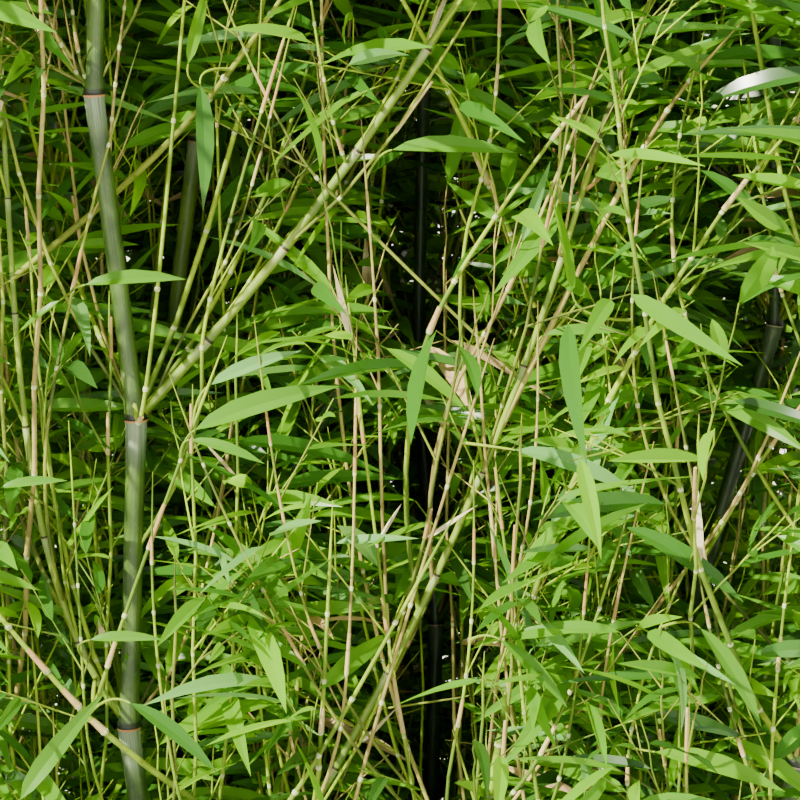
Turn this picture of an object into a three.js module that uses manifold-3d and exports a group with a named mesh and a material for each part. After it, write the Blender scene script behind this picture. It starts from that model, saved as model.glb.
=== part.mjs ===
// A clump of zigzag-caned bamboo in a plain round terracotta pot: twelve jointed culms that rise from the
// soil, their main branches, and the masses of leafy twigs that the culm tips, the branches and the culms'
// own nodes carry.
// Millimetres and degrees, +Z up. The origin is the middle of the pot's flat underside.
import * as THREE from "three";
import { mergeVertices } from "three/addons/utils/BufferGeometryUtils.js";
import Module from "manifold-3d";

const wasm = await Module();
wasm.setup();

// Clearance left between pieces that touch.
const GAP = 0.3;

// The pot, its drain holes and the soil that fills it.
const POT = {
  height: 412,
  footRadius: 172,
  shoulderRadius: 222,
  rimProud: 10,
  rimBand: 44,
  wall: 16,
  floor: 20,
  bevel: 5,
  drains: 4,
  drainRadius: 8,
  drainCircle: 80,
  drainSides: 8,
  sides: 30,
};
const SOIL = { top: 372, edgeDrop: 8, flatRadius: 184 };

// Every culm: STAND is the height over which its lean and arch are told, FULL the height where its taper
// would end.
const STAND = 1700;
const FULL = 2250;
const FLARE = { share: 0.22, height: 25 };
const CULM_SIDES = 5;
const CULM_END = 45;
const NODE_RING = { proud: 1.2, reach: 5, thinnest: 5.6 };

// Internodes start short at the soil, reach full length at the fifth, and shorten again near the top.
const INTERNODE = { shortest: 0.28, growth: 0.24, lastFull: 7, shrink: 0.06 };

// One row for each culm. The columns are its foot's x and y on the soil, its lean and then its arch in x and
// y over STAND, its full internode, the height of its first node, its foot radius, the bearing of the plane
// that it zigzags and branches in, how far it zigzags at each node, and its last node.
const CULMS = [
  [-134, -75, -49, -75, 0, -80, 195, 17, 7.7, -4, 7.5, 9],
  [-158, 40, -17, 42, 250, 60, 182, 40, 7, 200, 2.5, 10],
  [45, 92, -41, 52, 0, 130, 184, 60, 6, 182, 4.3, 10],
  [118, -8, 272, 16, -105, -70, 200, 41, 6.3, -5, 14, 9],
  [124, 82, 200, 140, 92, 144, 188, 22, 6.6, 130, 2.5, 8],
  [-152, -18, -285, -70, 70, -60, 178, 25, 6.3, 70, 3, 8],
  [140, -95, 340, -170, -90, -20, 186, 34, 6.6, 55, 3, 8],
  [-72, 132, -230, 221, 0, 60, 190, 28, 6.8, 20, 3, 8],
  [-112, 104, -70, 90, -30, 60, 192, 12, 7, 100, 3, 9],
  [18, -78, 150, -130, 0, 0, 150, 30, 5, 60, 2, 5],
  [36, 158, -20, 300, 60, -20, 182, 36, 6.4, 175, 3, 8],
  [166, 52, 290, 60, -40, 120, 176, 20, 5.8, 95, 3, 7],
];

// Main branches: the culm and node that each grows from, its bearing, its slope off the upright at its root
// and further up, how fast it settles to that, its length and its root radius.
const BRANCHES = [
  { culm: 1, node: 4, bearing: -9, slopes: [36, 16], settle: 1, length: 592, radius: 3 },
  { culm: 1, node: 5, bearing: 190, slopes: [36, 2], settle: 3, length: 380, radius: 2.6 },
  { culm: 1, node: 6, bearing: -5, slopes: [44, 30], settle: 1.5, length: 470, radius: 3.3 },
  { culm: 4, node: 5, bearing: 212, slopes: [44, 22], settle: 2, length: 240, radius: 2.7 },
  { culm: 5, node: 4, bearing: 85, slopes: [46, 24], settle: 2, length: 260, radius: 2.7 },
  { culm: 7, node: 5, bearing: -60, slopes: [44, 18], settle: 2, length: 250, radius: 2.7 },
  { culm: 8, node: 5, bearing: 190, slopes: [46, 24], settle: 2, length: 250, radius: 2.7 },
  { culm: 11, node: 5, bearing: 150, slopes: [44, 24], settle: 2, length: 260, radius: 2.6 },
];
const BRANCH_TAPER = 0.62;
const BRANCH_STEPS = 5;
const BRANCH_SIDES = 5;

// Side shoots, which are masses of foliage that grow straight from a culm's node: culm, node and bearing.
const SHOOTS = [
  [1, 3, 235], [1, 8, 280], [2, 6, -25], [2, 7, 165], [3, 5, -62], [3, 7, 20],
  [4, 4, -95], [4, 6, -30], [5, 6, 40], [6, 4, 215], [6, 6, 130], [7, 3, 10],
  [8, 3, 120], [9, 6, 60], [10, 3, 230], [11, 3, 60], [12, 4, 30], [12, 6, -20],
];

// A mass of foliage: a stem that bends as it goes, by so many degrees off the upright, with twigs along it.
const CROWN_MASS = { length: 500, bend: 38, settle: 0.8, twigs: 6, steps: 4, rootRadius: 3 };
const BRANCH_MASS = { length: 360, bend: 16, settle: 1, twigs: 4, steps: 3, rootRadius: 2 };
const SHOOT_MASS = { length: 430, slopes: [50, 26], settle: 2, twigs: 4, steps: 3, rootRadius: 2 };
const STEM_TIP_RADIUS = 1.9;
const TWIG_SIDES = 3;
const TWIG = {
  length: 85,
  lengthRange: [0.85, 1.15],
  rootRadius: 0.8,
  tipRadius: 0.7,
  slope: 58,
  slopeRange: 14,
  firstAt: 0.22,
  lastAt: 0.98,
  closing: 0.75,
  tries: 6,
};

// The leaves of a twig, larger than life, each one standing for a few. Sunk is how deep the root goes into
// the twig.
const LEAF = {
  places: [0.2, 0.42, 0.62, 0.8, 0.97],
  length: 134,
  lengthRange: [0.86, 1.14],
  halfWidth: 13.5,
  thickness: 3.2,
  broadest: 0.36,
  sunk: 1.5,
  neck: 0.12,
  splay: 0.9,
  endSplay: 0.1,
  droop: 0.4,
  roll: 30,
};
const GOLDEN_ANGLE = 137.508;
const APART = 2;
const FIRST_SEED = 101;

const rad = THREE.MathUtils.degToRad;
const deg = THREE.MathUtils.radToDeg;
const UP = new THREE.Vector3(0, 0, 1);

// A repeatable stream of numbers from 0 to 1.
function numbers(seed) {
  let state = seed;
  return () => {
    state = (state + 0x6d2b79f5) >>> 0;
    let t = state;
    t = Math.imul(t ^ (t >>> 15), t | 1);
    t ^= t + Math.imul(t ^ (t >>> 7), t | 61);
    return ((t ^ (t >>> 14)) >>> 0) / 4294967296;
  };
}

// A closed geometry as a solid: only its positions are kept, and shared corners are merged.
function solidOf(geometry) {
  const bare = new THREE.BufferGeometry();
  bare.setAttribute("position", geometry.getAttribute("position"));
  if (geometry.index) bare.setIndex(geometry.index);
  const merged = mergeVertices(bare, 1e-4);
  return new wasm.Manifold(
    new wasm.Mesh({
      numProp: 3,
      vertProperties: merged.attributes.position.array,
      triVerts: new Uint32Array(merged.index.array),
    }),
  );
}

// A solid's surface as a geometry.
function geometryOf(solid) {
  const surface = solid.getMesh();
  const geometry = new THREE.BufferGeometry();
  geometry.setAttribute("position", new THREE.BufferAttribute(surface.vertProperties, 3));
  geometry.setIndex(new THREE.BufferAttribute(surface.triVerts, 1));
  geometry.computeVertexNormals();
  return geometry;
}

// The largest of a solid's separate bodies, so that a scrap left by a cut is dropped.
const mainBody = (solid) => solid.decompose().sort((a, b) => b.volume() - a.volume())[0];

// A body of revolution about the upright axis, from a profile of [radius, height] pairs.
function turned(profile) {
  const points = profile.map(([radius, height]) => new THREE.Vector2(radius, height));
  return solidOf(new THREE.LatheGeometry(points, POT.sides).rotateX(Math.PI / 2));
}

// A tapering limb along a path: a capped cylinder whose rings are laid on the path's points. Level is a
// level direction that the path stays away from, and one side of each ring faces it.
function limb(points, radii, sides, level) {
  const last = points.length - 1;
  const geometry = new THREE.CylinderGeometry(1, 1, 1, sides, last);
  const place = geometry.getAttribute("position");
  const frames = points.map((point, i) => {
    const along = points[Math.min(i + 1, last)].clone().sub(points[Math.max(i - 1, 0)]).normalize();
    const across = new THREE.Vector3().crossVectors(level, along).normalize();
    return { point, across, square: new THREE.Vector3().crossVectors(along, across) };
  });
  for (let i = 0; i < place.count; i++) {
    const ring = Math.round((place.getY(i) + 0.5) * last);
    const { point, across, square } = frames[ring];
    const corner = point.clone();
    corner.addScaledVector(square, place.getX(i) * radii[ring]);
    corner.addScaledVector(across, place.getZ(i) * radii[ring]);
    place.setXYZ(i, corner.x, corner.y, corner.z);
  }
  return solidOf(geometry);
}

// A leaf blade: an octahedron drawn out from its root to its tip, flat, and broadest nearer its root.
function blade(root, along, flat, scale) {
  const geometry = new THREE.OctahedronGeometry(1, 0);
  const place = geometry.getAttribute("position");
  const across = new THREE.Vector3().crossVectors(along, flat).normalize();
  for (let i = 0; i < place.count; i++) {
    const end = place.getY(i);
    const reach = end > 0.5 ? 1 : end < -0.5 ? 0 : LEAF.broadest;
    const corner = root.clone();
    corner.addScaledVector(along, reach * LEAF.length * scale);
    corner.addScaledVector(across, place.getX(i) * LEAF.halfWidth * scale);
    corner.addScaledVector(flat, place.getZ(i) * LEAF.thickness * 0.5);
    place.setXYZ(i, corner.x, corner.y, corner.z);
  }
  return solidOf(geometry);
}

// The heights of a culm's nodes over the soil.
function nodeHeights(internode, first, last) {
  const heights = [first];
  for (let i = 0; i < last; i++) {
    const rising = Math.min(1, INTERNODE.shortest + INTERNODE.growth * Math.max(0, i - 1));
    const falling = 1 - INTERNODE.shrink * Math.max(0, i - INTERNODE.lastFull);
    heights.push(heights[i] + internode * rising * falling);
  }
  return heights;
}

// How far a culm stands off its mean line at a node: to one side at each even node, and to the other at each
// odd one.
function zigzagAt(culm, node) {
  if (node < 0) return 0;
  return node % 2 ? -culm.zigzag : culm.zigzag;
}

function culmPoint(culm, height) {
  const next = culm.heights.findIndex((nodeHeight) => nodeHeight >= height);
  const above = next < 0 ? culm.heights.length : next;
  const low = above ? culm.heights[above - 1] : 0;
  const high = culm.heights[above] ?? low + culm.internode;
  const share = (height - low) / (high - low);
  const offset = THREE.MathUtils.lerp(zigzagAt(culm, above - 1), zigzagAt(culm, above), share);
  const s = height / STAND;
  const [x, y] = [0, 1].map((k) => culm.foot[k] + culm.lean[k] * s + culm.arch[k] * s ** 3);
  return new THREE.Vector3(
    x + offset * Math.cos(rad(culm.plane)),
    y + offset * Math.sin(rad(culm.plane)),
    SOIL.top + GAP + height,
  );
}

function culmRadius(culm, height) {
  return culm.radius * Math.sqrt(1 - height / FULL) * (1 + FLARE.share * Math.exp(-height / FLARE.height));
}

// The rings of a culm: three at each node, or one where it is thin, with its foot and its cut tip.
function culmRings(culm) {
  const rings = [{ height: 0, swell: 1 }];
  for (const height of culm.heights) {
    const thick = culmRadius(culm, height) > NODE_RING.thinnest;
    if (thick) rings.push({ height: height - NODE_RING.reach, swell: 1 });
    rings.push({ height, swell: thick ? NODE_RING.proud : 1 });
    if (thick) rings.push({ height: height + NODE_RING.reach, swell: 1 });
  }
  rings.push({ height: culm.tip, swell: 1 });
  return rings;
}

// The culm's solid, cut flat at the soil, or the space to keep clear round it.
function culmSolid(culm, clearance = 0) {
  const rings = culmRings(culm);
  const points = rings.map((ring) => culmPoint(culm, ring.height));
  const radii = rings.map((ring) => culmRadius(culm, ring.height) * ring.swell + clearance);
  points[0].z -= NODE_RING.reach;
  const solid = limb(points, radii, CULM_SIDES, new THREE.Vector3(0, 1, 0));
  return solid.trimByPlane([0, 0, 1], SOIL.top + GAP);
}

// A path that leaves a point on a bearing and bends from one slope off the upright to another.
function sweep(start, bearing, slopes, settle, length, steps) {
  const points = [start.clone()];
  for (let i = 0; i < steps; i++) {
    const along = (i + 0.5) / steps;
    const slope = rad(slopes[1] + (slopes[0] - slopes[1]) * (1 - along) ** settle);
    const step = new THREE.Vector3(
      Math.sin(slope) * Math.cos(rad(bearing)),
      Math.sin(slope) * Math.sin(rad(bearing)),
      Math.cos(slope),
    );
    points.push(points[i].clone().addScaledVector(step, length / steps));
  }
  return points;
}

// Level, and square to the plane of a bearing.
const squareTo = (bearing) => new THREE.Vector3(-Math.sin(rad(bearing)), Math.cos(rad(bearing)), 0);

// The least distance between two straight stretches.
function stretchDistance([a, b], [c, d]) {
  const u = b.clone().sub(a);
  const v = d.clone().sub(c);
  const w = a.clone().sub(c);
  const [uu, uv, vv, uw, vw] = [u.dot(u), u.dot(v), v.dot(v), u.dot(w), v.dot(w)];
  const square = uu * vv - uv * uv;
  let s = square > 1e-9 ? THREE.MathUtils.clamp((uv * vw - vv * uw) / square, 0, 1) : 0;
  const t = THREE.MathUtils.clamp((uv * s + vw) / vv, 0, 1);
  s = uu > 1e-9 ? THREE.MathUtils.clamp((uv * t - uw) / uu, 0, 1) : 0;
  return w.addScaledVector(u, s).addScaledVector(v, -t).length();
}

function pathDistance(points, stretch) {
  let least = Infinity;
  for (let i = 1; i < points.length; i++) {
    least = Math.min(least, stretchDistance(stretch, [points[i - 1], points[i]]));
  }
  return least;
}

// The limbs, each with its path and the radius that foliage stays clear of.
function culmFrom(row, i) {
  const [footX, footY, leanX, leanY, archX, archY, internode, first, radius, plane, zigzag, last] = row;
  const heights = nodeHeights(internode, first, last);
  const culm = {
    name: `culm_${String(i + 1).padStart(2, "0")}`,
    foot: [footX, footY],
    lean: [leanX, leanY],
    arch: [archX, archY],
    tip: heights[last] + CULM_END,
    clear: radius * NODE_RING.proud,
    internode,
    heights,
    radius,
    plane,
    zigzag,
  };
  culm.points = culmRings(culm).map((ring) => culmPoint(culm, ring.height));
  return culm;
}

const culms = CULMS.map(culmFrom);
const numberOf = (culm) => culm.name.slice("culm_".length);

const branches = BRANCHES.map((row) => {
  const culm = culms[row.culm - 1];
  const start = culmPoint(culm, culm.heights[row.node]);
  const points = sweep(start, row.bearing, row.slopes, row.settle, row.length, BRANCH_STEPS);
  return { ...row, name: `branch_${numberOf(culm)}_${row.node}`, on: culm, points, clear: row.radius };
});

const limbs = [...culms, ...branches];

function branchSolid(branch) {
  const radii = branch.points.map((_, i) => branch.radius * (1 - (1 - BRANCH_TAPER) * (i / BRANCH_STEPS)));
  const whole = limb(branch.points, radii, BRANCH_SIDES, squareTo(branch.bearing));
  return mainBody(whole.subtract(culmSolid(branch.on, GAP)));
}

// A mass that goes on from a limb's tip, in line with it, from just clear of it.
function massBeyond(carrier, form, name) {
  const [before, tip] = carrier.points.slice(-2);
  const along = tip.clone().sub(before).normalize();
  const slope = deg(along.angleTo(UP));
  const bearing = deg(Math.atan2(along.y, along.x));
  const start = tip.clone().addScaledVector(along, GAP);
  const points = sweep(start, bearing, [slope, slope + form.bend], form.settle, form.length, form.steps);
  return { name, form, bearing, points };
}

// A mass that leaves a culm at one of its nodes.
function massAtNode([number, node, bearing]) {
  const culm = culms[number - 1];
  const form = SHOOT_MASS;
  const start = culmPoint(culm, culm.heights[node]);
  const points = sweep(start, bearing, form.slopes, form.settle, form.length, form.steps);
  return { name: `shoot_${numberOf(culm)}_${node}`, form, bearing, points, on: culm };
}

const masses = [
  ...culms.map((culm) => massBeyond(culm, CROWN_MASS, culm.name.replace("culm", "crown"))),
  ...branches.map((branch) => massBeyond(branch, BRANCH_MASS, branch.name.replace("branch", "spray"))),
  ...SHOOTS.map(massAtNode),
];

// Whether a straight stretch of twig or leaf stays nearer to its own mass than to any other, and clear of
// all limbs. WidthAt tells its half width from its share along, and the widest is what the limbs are kept
// clear of.
function keepsToSpace(mass, [from, to], widest, widthAt) {
  const others = masses.filter((other) => other !== mass);
  const inSpace = [0, 0.25, 0.5, 0.75, 1].every((share) => {
    const sample = from.clone().lerp(to, share);
    const bound = pathDistance(mass.points, [sample, sample]) + 2 * widthAt(share) + APART;
    return others.every((other) => pathDistance(other.points, [sample, sample]) > bound);
  });
  const clearOf = (piece) => pathDistance(piece.points, [from, to]) > piece.clear + widest + APART;
  return inSpace && limbs.every(clearOf);
}

// The half width of a leaf at a share of its length, and of a twig anywhere.
const leafWidthAt = (share) =>
  LEAF.halfWidth * Math.min(share / LEAF.broadest, (1 - share) / (1 - LEAF.broadest));
const twigWidthAt = () => TWIG.rootRadius;

// One leaf of a twig, or nothing where it would leave its space, touch a limb or lie on a leaf that is
// already there.
function leafOn(mass, twig, place, side, draw, placed) {
  const foot = twig.root.clone().lerp(twig.end, place - LEAF.sunk / twig.length);
  const splay = place === LEAF.places.at(-1) ? LEAF.endSplay : LEAF.splay;
  const way = twig.way.clone().addScaledVector(twig.level, side * splay * (0.8 + 0.4 * draw()));
  way.addScaledVector(UP, -LEAF.droop * (0.5 + draw())).normalize();
  const flat = new THREE.Vector3().crossVectors(way, UP).cross(way).normalize();
  flat.applyAxisAngle(way, rad(LEAF.roll * (2 * draw() - 1)));
  const scale = THREE.MathUtils.lerp(...LEAF.lengthRange, draw());
  const tip = foot.clone().addScaledVector(way, LEAF.length * scale);
  const stretch = [foot.clone().lerp(tip, LEAF.neck), tip];
  const free = placed.every((other) => stretchDistance(other, stretch) > LEAF.halfWidth);
  if (!free || !keepsToSpace(mass, stretch, LEAF.halfWidth, leafWidthAt)) return null;
  placed.push(stretch);
  return blade(foot, way, flat, scale);
}

// The next twig's line, turned on by the golden angle until it keeps to the mass's space.
function twigOn(mass, share, turn, draw) {
  const last = mass.form.steps;
  const step = Math.min(last - 1, Math.floor(share * last));
  const [low, high] = [mass.points[step], mass.points[step + 1]];
  const root = low.clone().lerp(high, share * last - step);
  const stemWay = high.clone().sub(low).normalize();
  const slope = rad(TWIG.slope * (1 - TWIG.closing * share ** 4) + TWIG.slopeRange * (draw() - 0.5));
  const length = TWIG.length * THREE.MathUtils.lerp(...TWIG.lengthRange, draw());
  for (let go = 0; go < TWIG.tries; go++) {
    const side = squareTo(mass.bearing).applyAxisAngle(stemWay, rad(turn + GOLDEN_ANGLE * go));
    const way = stemWay.clone().multiplyScalar(Math.cos(slope)).addScaledVector(side, Math.sin(slope));
    const end = root.clone().addScaledVector(way, length);
    const level = new THREE.Vector3().crossVectors(way, UP).normalize();
    if (keepsToSpace(mass, [root.clone().lerp(end, 0.1), end], TWIG.rootRadius, twigWidthAt)) {
      return { root, end, way, level, under: level.clone().negate(), length, turns: go + 1 };
    }
  }
  return null;
}

// A mass of foliage as one solid: its stem, the twigs round it, and the leaves with their roots sunk in
// the twigs.
function massSolid(mass, seed) {
  const { form } = mass;
  const draw = numbers(seed);
  const radii = mass.points.map((_, i) =>
    THREE.MathUtils.lerp(form.rootRadius, STEM_TIP_RADIUS, (i / form.steps) ** 0.7),
  );
  const pieces = [limb(mass.points, radii, TWIG_SIDES, squareTo(mass.bearing))];
  const placed = [];
  let turn = 360 * draw();
  for (let k = 0; k < form.twigs; k++) {
    const share = TWIG.firstAt + (TWIG.lastAt - TWIG.firstAt) * (k / (form.twigs - 1));
    const twig = twigOn(mass, share, turn, draw);
    if (!twig) continue;
    turn += GOLDEN_ANGLE * twig.turns;
    pieces.push(limb([twig.root, twig.end], [TWIG.rootRadius, TWIG.tipRadius], TWIG_SIDES, twig.under));
    LEAF.places.forEach((place, j) => {
      const leaf = leafOn(mass, twig, place, j % 2 ? -1 : 1, draw, placed);
      if (leaf) pieces.push(leaf);
    });
  }
  const joined = wasm.Manifold.union(pieces);
  return mainBody(mass.on ? joined.subtract(culmSolid(mass.on, GAP)) : joined);
}

const outerRadius = (height) =>
  THREE.MathUtils.lerp(POT.footRadius, POT.shoulderRadius, height / (POT.height - POT.rimBand));
const innerRadius = (height) => outerRadius(height) - POT.wall;

function potSolid() {
  const shoulder = POT.height - POT.rimBand;
  const rim = outerRadius(POT.height) + POT.rimProud;
  let pot = turned([
    [0, 0],
    [POT.footRadius - POT.bevel, 0],
    [POT.footRadius, POT.bevel],
    [POT.shoulderRadius, shoulder],
    [POT.shoulderRadius + POT.rimProud, shoulder + POT.bevel],
    [rim, POT.height - POT.bevel],
    [rim - POT.bevel, POT.height],
    [innerRadius(POT.height), POT.height],
    [innerRadius(POT.floor), POT.floor],
    [0, POT.floor],
  ]);
  for (let k = 0; k < POT.drains; k++) {
    const bearing = rad(360 * ((k + 0.5) / POT.drains));
    const hole = new THREE.CylinderGeometry(POT.drainRadius, POT.drainRadius, 3 * POT.floor, POT.drainSides);
    hole.rotateX(Math.PI / 2);
    hole.translate(POT.drainCircle * Math.cos(bearing), POT.drainCircle * Math.sin(bearing), 0);
    pot = pot.subtract(solidOf(hole));
  }
  return pot;
}

function soilSolid() {
  const edge = SOIL.top - SOIL.edgeDrop;
  return turned([
    [0, POT.floor + GAP],
    [innerRadius(POT.floor) - GAP, POT.floor + GAP],
    [innerRadius(edge) - GAP, edge],
    [SOIL.flatRadius, SOIL.top],
    [0, SOIL.top],
  ]);
}

const finishes = {
  terracotta: new THREE.MeshStandardMaterial({ color: 0xa65a3a, roughness: 0.85, metalness: 0 }),
  soil: new THREE.MeshStandardMaterial({ color: 0x3a2a20, roughness: 1, metalness: 0 }),
  culm: new THREE.MeshStandardMaterial({ color: 0x4f6b2c, roughness: 0.45, metalness: 0 }),
  branch: new THREE.MeshStandardMaterial({ color: 0x8c9c3a, roughness: 0.5, metalness: 0 }),
  foliage: new THREE.MeshStandardMaterial({ color: 0x3f7a1e, roughness: 0.4, metalness: 0 }),
};

const plant = new THREE.Group();
plant.name = "potted_bamboo";

function add(name, solid, material) {
  const piece = new THREE.Mesh(geometryOf(solid), material.clone());
  piece.name = name;
  plant.add(piece);
}

add("pot", potSolid(), finishes.terracotta);
add("soil", soilSolid(), finishes.soil);
culms.forEach((culm) => add(culm.name, culmSolid(culm), finishes.culm));
branches.forEach((branch) => add(branch.name, branchSolid(branch), finishes.branch));
masses.forEach((mass, i) => add(mass.name, massSolid(mass, FIRST_SEED + i), finishes.foliage));

export default plant;
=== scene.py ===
"""Potted bamboo: the finished canes, boughs, twigs, leaves, pot and soil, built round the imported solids.

It is laid out as an add-on and run as a script. Lengths are in metres, apart from the tables of the canes
and branches, which repeat the part's own source in millimetres and degrees, and those that are in pixels.
"""

import collections
import functools
import math
import random

import bpy
import numpy as np
from mathutils import Matrix, Vector, noise


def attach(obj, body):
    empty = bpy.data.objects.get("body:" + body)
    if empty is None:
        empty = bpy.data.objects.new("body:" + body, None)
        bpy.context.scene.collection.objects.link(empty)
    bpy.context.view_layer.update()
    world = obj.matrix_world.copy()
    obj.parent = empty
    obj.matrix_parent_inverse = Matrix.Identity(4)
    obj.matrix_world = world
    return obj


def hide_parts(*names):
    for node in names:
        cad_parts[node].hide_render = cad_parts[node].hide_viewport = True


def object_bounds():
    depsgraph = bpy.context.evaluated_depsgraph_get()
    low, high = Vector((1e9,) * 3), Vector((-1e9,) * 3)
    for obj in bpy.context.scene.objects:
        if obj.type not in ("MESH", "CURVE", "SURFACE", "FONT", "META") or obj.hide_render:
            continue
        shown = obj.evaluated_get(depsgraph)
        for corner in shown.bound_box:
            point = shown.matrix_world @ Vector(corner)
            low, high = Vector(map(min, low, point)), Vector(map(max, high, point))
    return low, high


bl_info = {
    "name": "Potted bamboo",
    "version": (1, 0, 0),
    "blender": (4, 5, 0),
    "location": "View3D > Sidebar > Bamboo",
    "description": "Builds the looks of a potted bamboo round its packed solids",
    "category": "Object",
}

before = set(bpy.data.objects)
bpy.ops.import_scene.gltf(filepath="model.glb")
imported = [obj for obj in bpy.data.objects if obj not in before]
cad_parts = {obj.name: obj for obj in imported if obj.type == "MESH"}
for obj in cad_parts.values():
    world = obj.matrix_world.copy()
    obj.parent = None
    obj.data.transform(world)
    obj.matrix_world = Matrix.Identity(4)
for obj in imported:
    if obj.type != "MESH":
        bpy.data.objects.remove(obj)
CAD_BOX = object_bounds()
MM = 0.001
UP = Vector((0, 0, 1))
GAP = 0.3 * MM

# The pot and the soil, as in the part's source.
POT_HEIGHT = 0.412
FOOT_RADIUS = 0.172
SHOULDER_RADIUS = 0.222
RIM_PROUD = 0.010
RIM_BAND = 0.044
RIM_SLANT = 0.002
POT_WALL = 0.016
POT_FLOOR = 0.020
POT_BEVEL = 0.005
DRAINS = 4
DRAIN_RADIUS = 0.008
DRAIN_CIRCLE = 0.080
SOIL_TOP = 0.372
SOIL_EDGE_DROP = 0.008
SOIL_FLAT_RADIUS = 0.184

# The rule that the canes follow, as in the part's source.
STAND = 1.700
FULL = 2.250
FLARE_SHARE = 0.22
FLARE_HEIGHT = 0.025
CULM_END = 0.045
SHORTEST = 0.28
GROWTH = 0.24
LAST_FULL = 7
SHRINK = 0.06

# One row for each culm: foot x and y, lean x and y, arch x and y, full internode, first node, foot radius,
# bearing of the plane that it zigzags in, zigzag and last node.
CULMS = [
    (-134, -75, -49, -75, 0, -80, 195, 17, 7.7, -4, 7.5, 9),
    (-158, 40, -17, 42, 250, 60, 182, 40, 7, 200, 2.5, 10),
    (45, 92, -41, 52, 0, 130, 184, 60, 6, 182, 4.3, 10),
    (118, -8, 272, 16, -105, -70, 200, 41, 6.3, -5, 14, 9),
    (124, 82, 200, 140, 92, 144, 188, 22, 6.6, 130, 2.5, 8),
    (-152, -18, -285, -70, 70, -60, 178, 25, 6.3, 70, 3, 8),
    (140, -95, 340, -170, -90, -20, 186, 34, 6.6, 55, 3, 8),
    (-72, 132, -230, 221, 0, 60, 190, 28, 6.8, 20, 3, 8),
    (-112, 104, -70, 90, -30, 60, 192, 12, 7, 100, 3, 9),
    (18, -78, 150, -130, 0, 0, 150, 30, 5, 60, 2, 5),
    (36, 158, -20, 300, 60, -20, 182, 36, 6.4, 175, 3, 8),
    (166, 52, 290, 60, -40, 120, 176, 20, 5.8, 95, 3, 7),
]
# One row for each main branch: culm, node, bearing, slope off the upright at its root and further up,
# how fast it settles to that, length and root radius.
BRANCHES = [
    (1, 4, -9, 36, 16, 1, 592, 3),
    (1, 5, 190, 36, 2, 3, 380, 2.6),
    (1, 6, -5, 44, 30, 1.5, 470, 3.3),
    (4, 5, 212, 44, 22, 2, 240, 2.7),
    (5, 4, 85, 46, 24, 2, 260, 2.7),
    (7, 5, -60, 44, 18, 2, 250, 2.7),
    (8, 5, 190, 46, 24, 2, 250, 2.7),
    (11, 5, 150, 44, 24, 2, 260, 2.6),
]
# Side shoots: culm, node and bearing.
SHOOTS = [
    (1, 3, 235), (1, 8, 280), (2, 6, -25), (2, 7, 165), (3, 5, -62), (3, 7, 20),
    (4, 4, -95), (4, 6, -30), (5, 6, 40), (6, 4, 215), (6, 6, 130), (7, 3, 10),
    (8, 3, 120), (9, 6, 60), (10, 3, 230), (11, 3, 60), (12, 4, 30), (12, 6, -20),
]
BRANCH_TAPER = 0.62
GOLDEN_ANGLE = 137.508

# How far the bends of a cane's line are eased, and how far either side its way is read.
BEND_EASE = 0.006
WAY_EASE = 0.012
# How far under a cane's tip the way of its crown is read, and how many points of a cane's line serve to
# find where it shows in the photograph, to keep leaves off it, and to find where front stems leave it.
TIP_BACK = 0.02
SHOWN_POINTS = 120
CLEAR_POINTS = 34
ROOT_POINTS = 60
# A bough: its steps, how far apart its nodes are, where the first is and how many more spacings than nodes
# there are.
BOUGH_STEPS = 30
BOUGH_SPACING = 0.078
BOUGH_FIRST = 0.9
BOUGH_SPARE = 0.5
# The fewest nodes of a bough or stem.
FEWEST_NODES = 3
# A way whose level part is shorter than this is upright.
UPRIGHT = 0.001

# The masses of foliage: the stem's length, how it bends, its root radius and how far apart its nodes are.
CROWN = {"length": 0.500, "bend": 38, "settle": 0.8, "girth": 0.0030, "spacing": 0.034}
SPRAY = {"length": 0.360, "bend": 16, "settle": 1, "girth": 0.0020, "spacing": 0.034}
SHOOT = {"length": 0.430, "slopes": (50, 26), "settle": 2, "girth": 0.0020, "spacing": 0.036}
# Finer shoots that every upper node bears in an unequal bunch, by the same rule, between the masses.
FINE = {
    "nodes": range(2, 11),
    "lengths": (0.46, 0.38, 0.32, 0.26, 0.20),
    "girths": (0.0020, 0.0017, 0.0014, 0.0012, 0.0010),
    "turns": (-16, 24, -62, 118, 176),
    "slopes": (38, 8), "settle": 2.5, "spacing": 0.054, "bare": 0.26,
}
# Long shoots, bare below, that rise nearly upright from the lower nodes.
LONG = {
    "nodes": range(2, 7),
    "lengths": (0.74, 0.62, 0.54, 0.46),
    "girths": (0.0018, 0.0016, 0.0015, 0.0013),
    "turns": (35, 130, -50, 215),
    "slopes": (30, 3), "settle": 2.2, "spacing": 0.060, "bare": 0.50,
}
# Fine stems that leave the boughs' nodes.
SIDE = {
    "length": (0.13, 0.24), "slope": (16, 34), "turn": 70, "closing": 0.6, "settle": 1.5, "girth": 0.0011,
}
# How far finer shoots stray: off their bearing, and as shares of their length and of their two slopes.
STRAY = 18
REACH_RANGE = (0.8, 1.25)
SLOPE_RANGE = (0.7, 1.3)
TIP_RANGE = (0.0, 2.2)
# The share of a stem that is bare, and how much less of it is bare in finer shoots on the canes behind.
BARE_FOOT = 0.16
REAR = 0.080
REAR_SHARE = 0.35

# How a stem is drawn: its kinds with their shares, its steps, how many more spacings than nodes it has, its
# taper, tip and zigzag.
STEM_KINDS = {"green": 0.62, "olive": 0.26, "tan": 0.12}
STEM_STEPS = 12
STEM_SPARE = 0.15
STEM_TAPER = 0.8
STEM_TIP = 0.0008
SPEAR_TIP = 0.0002
SPEAR_STEPS = (0.012, 0.032)
STEM_ZIGZAG = 0.0011
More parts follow.
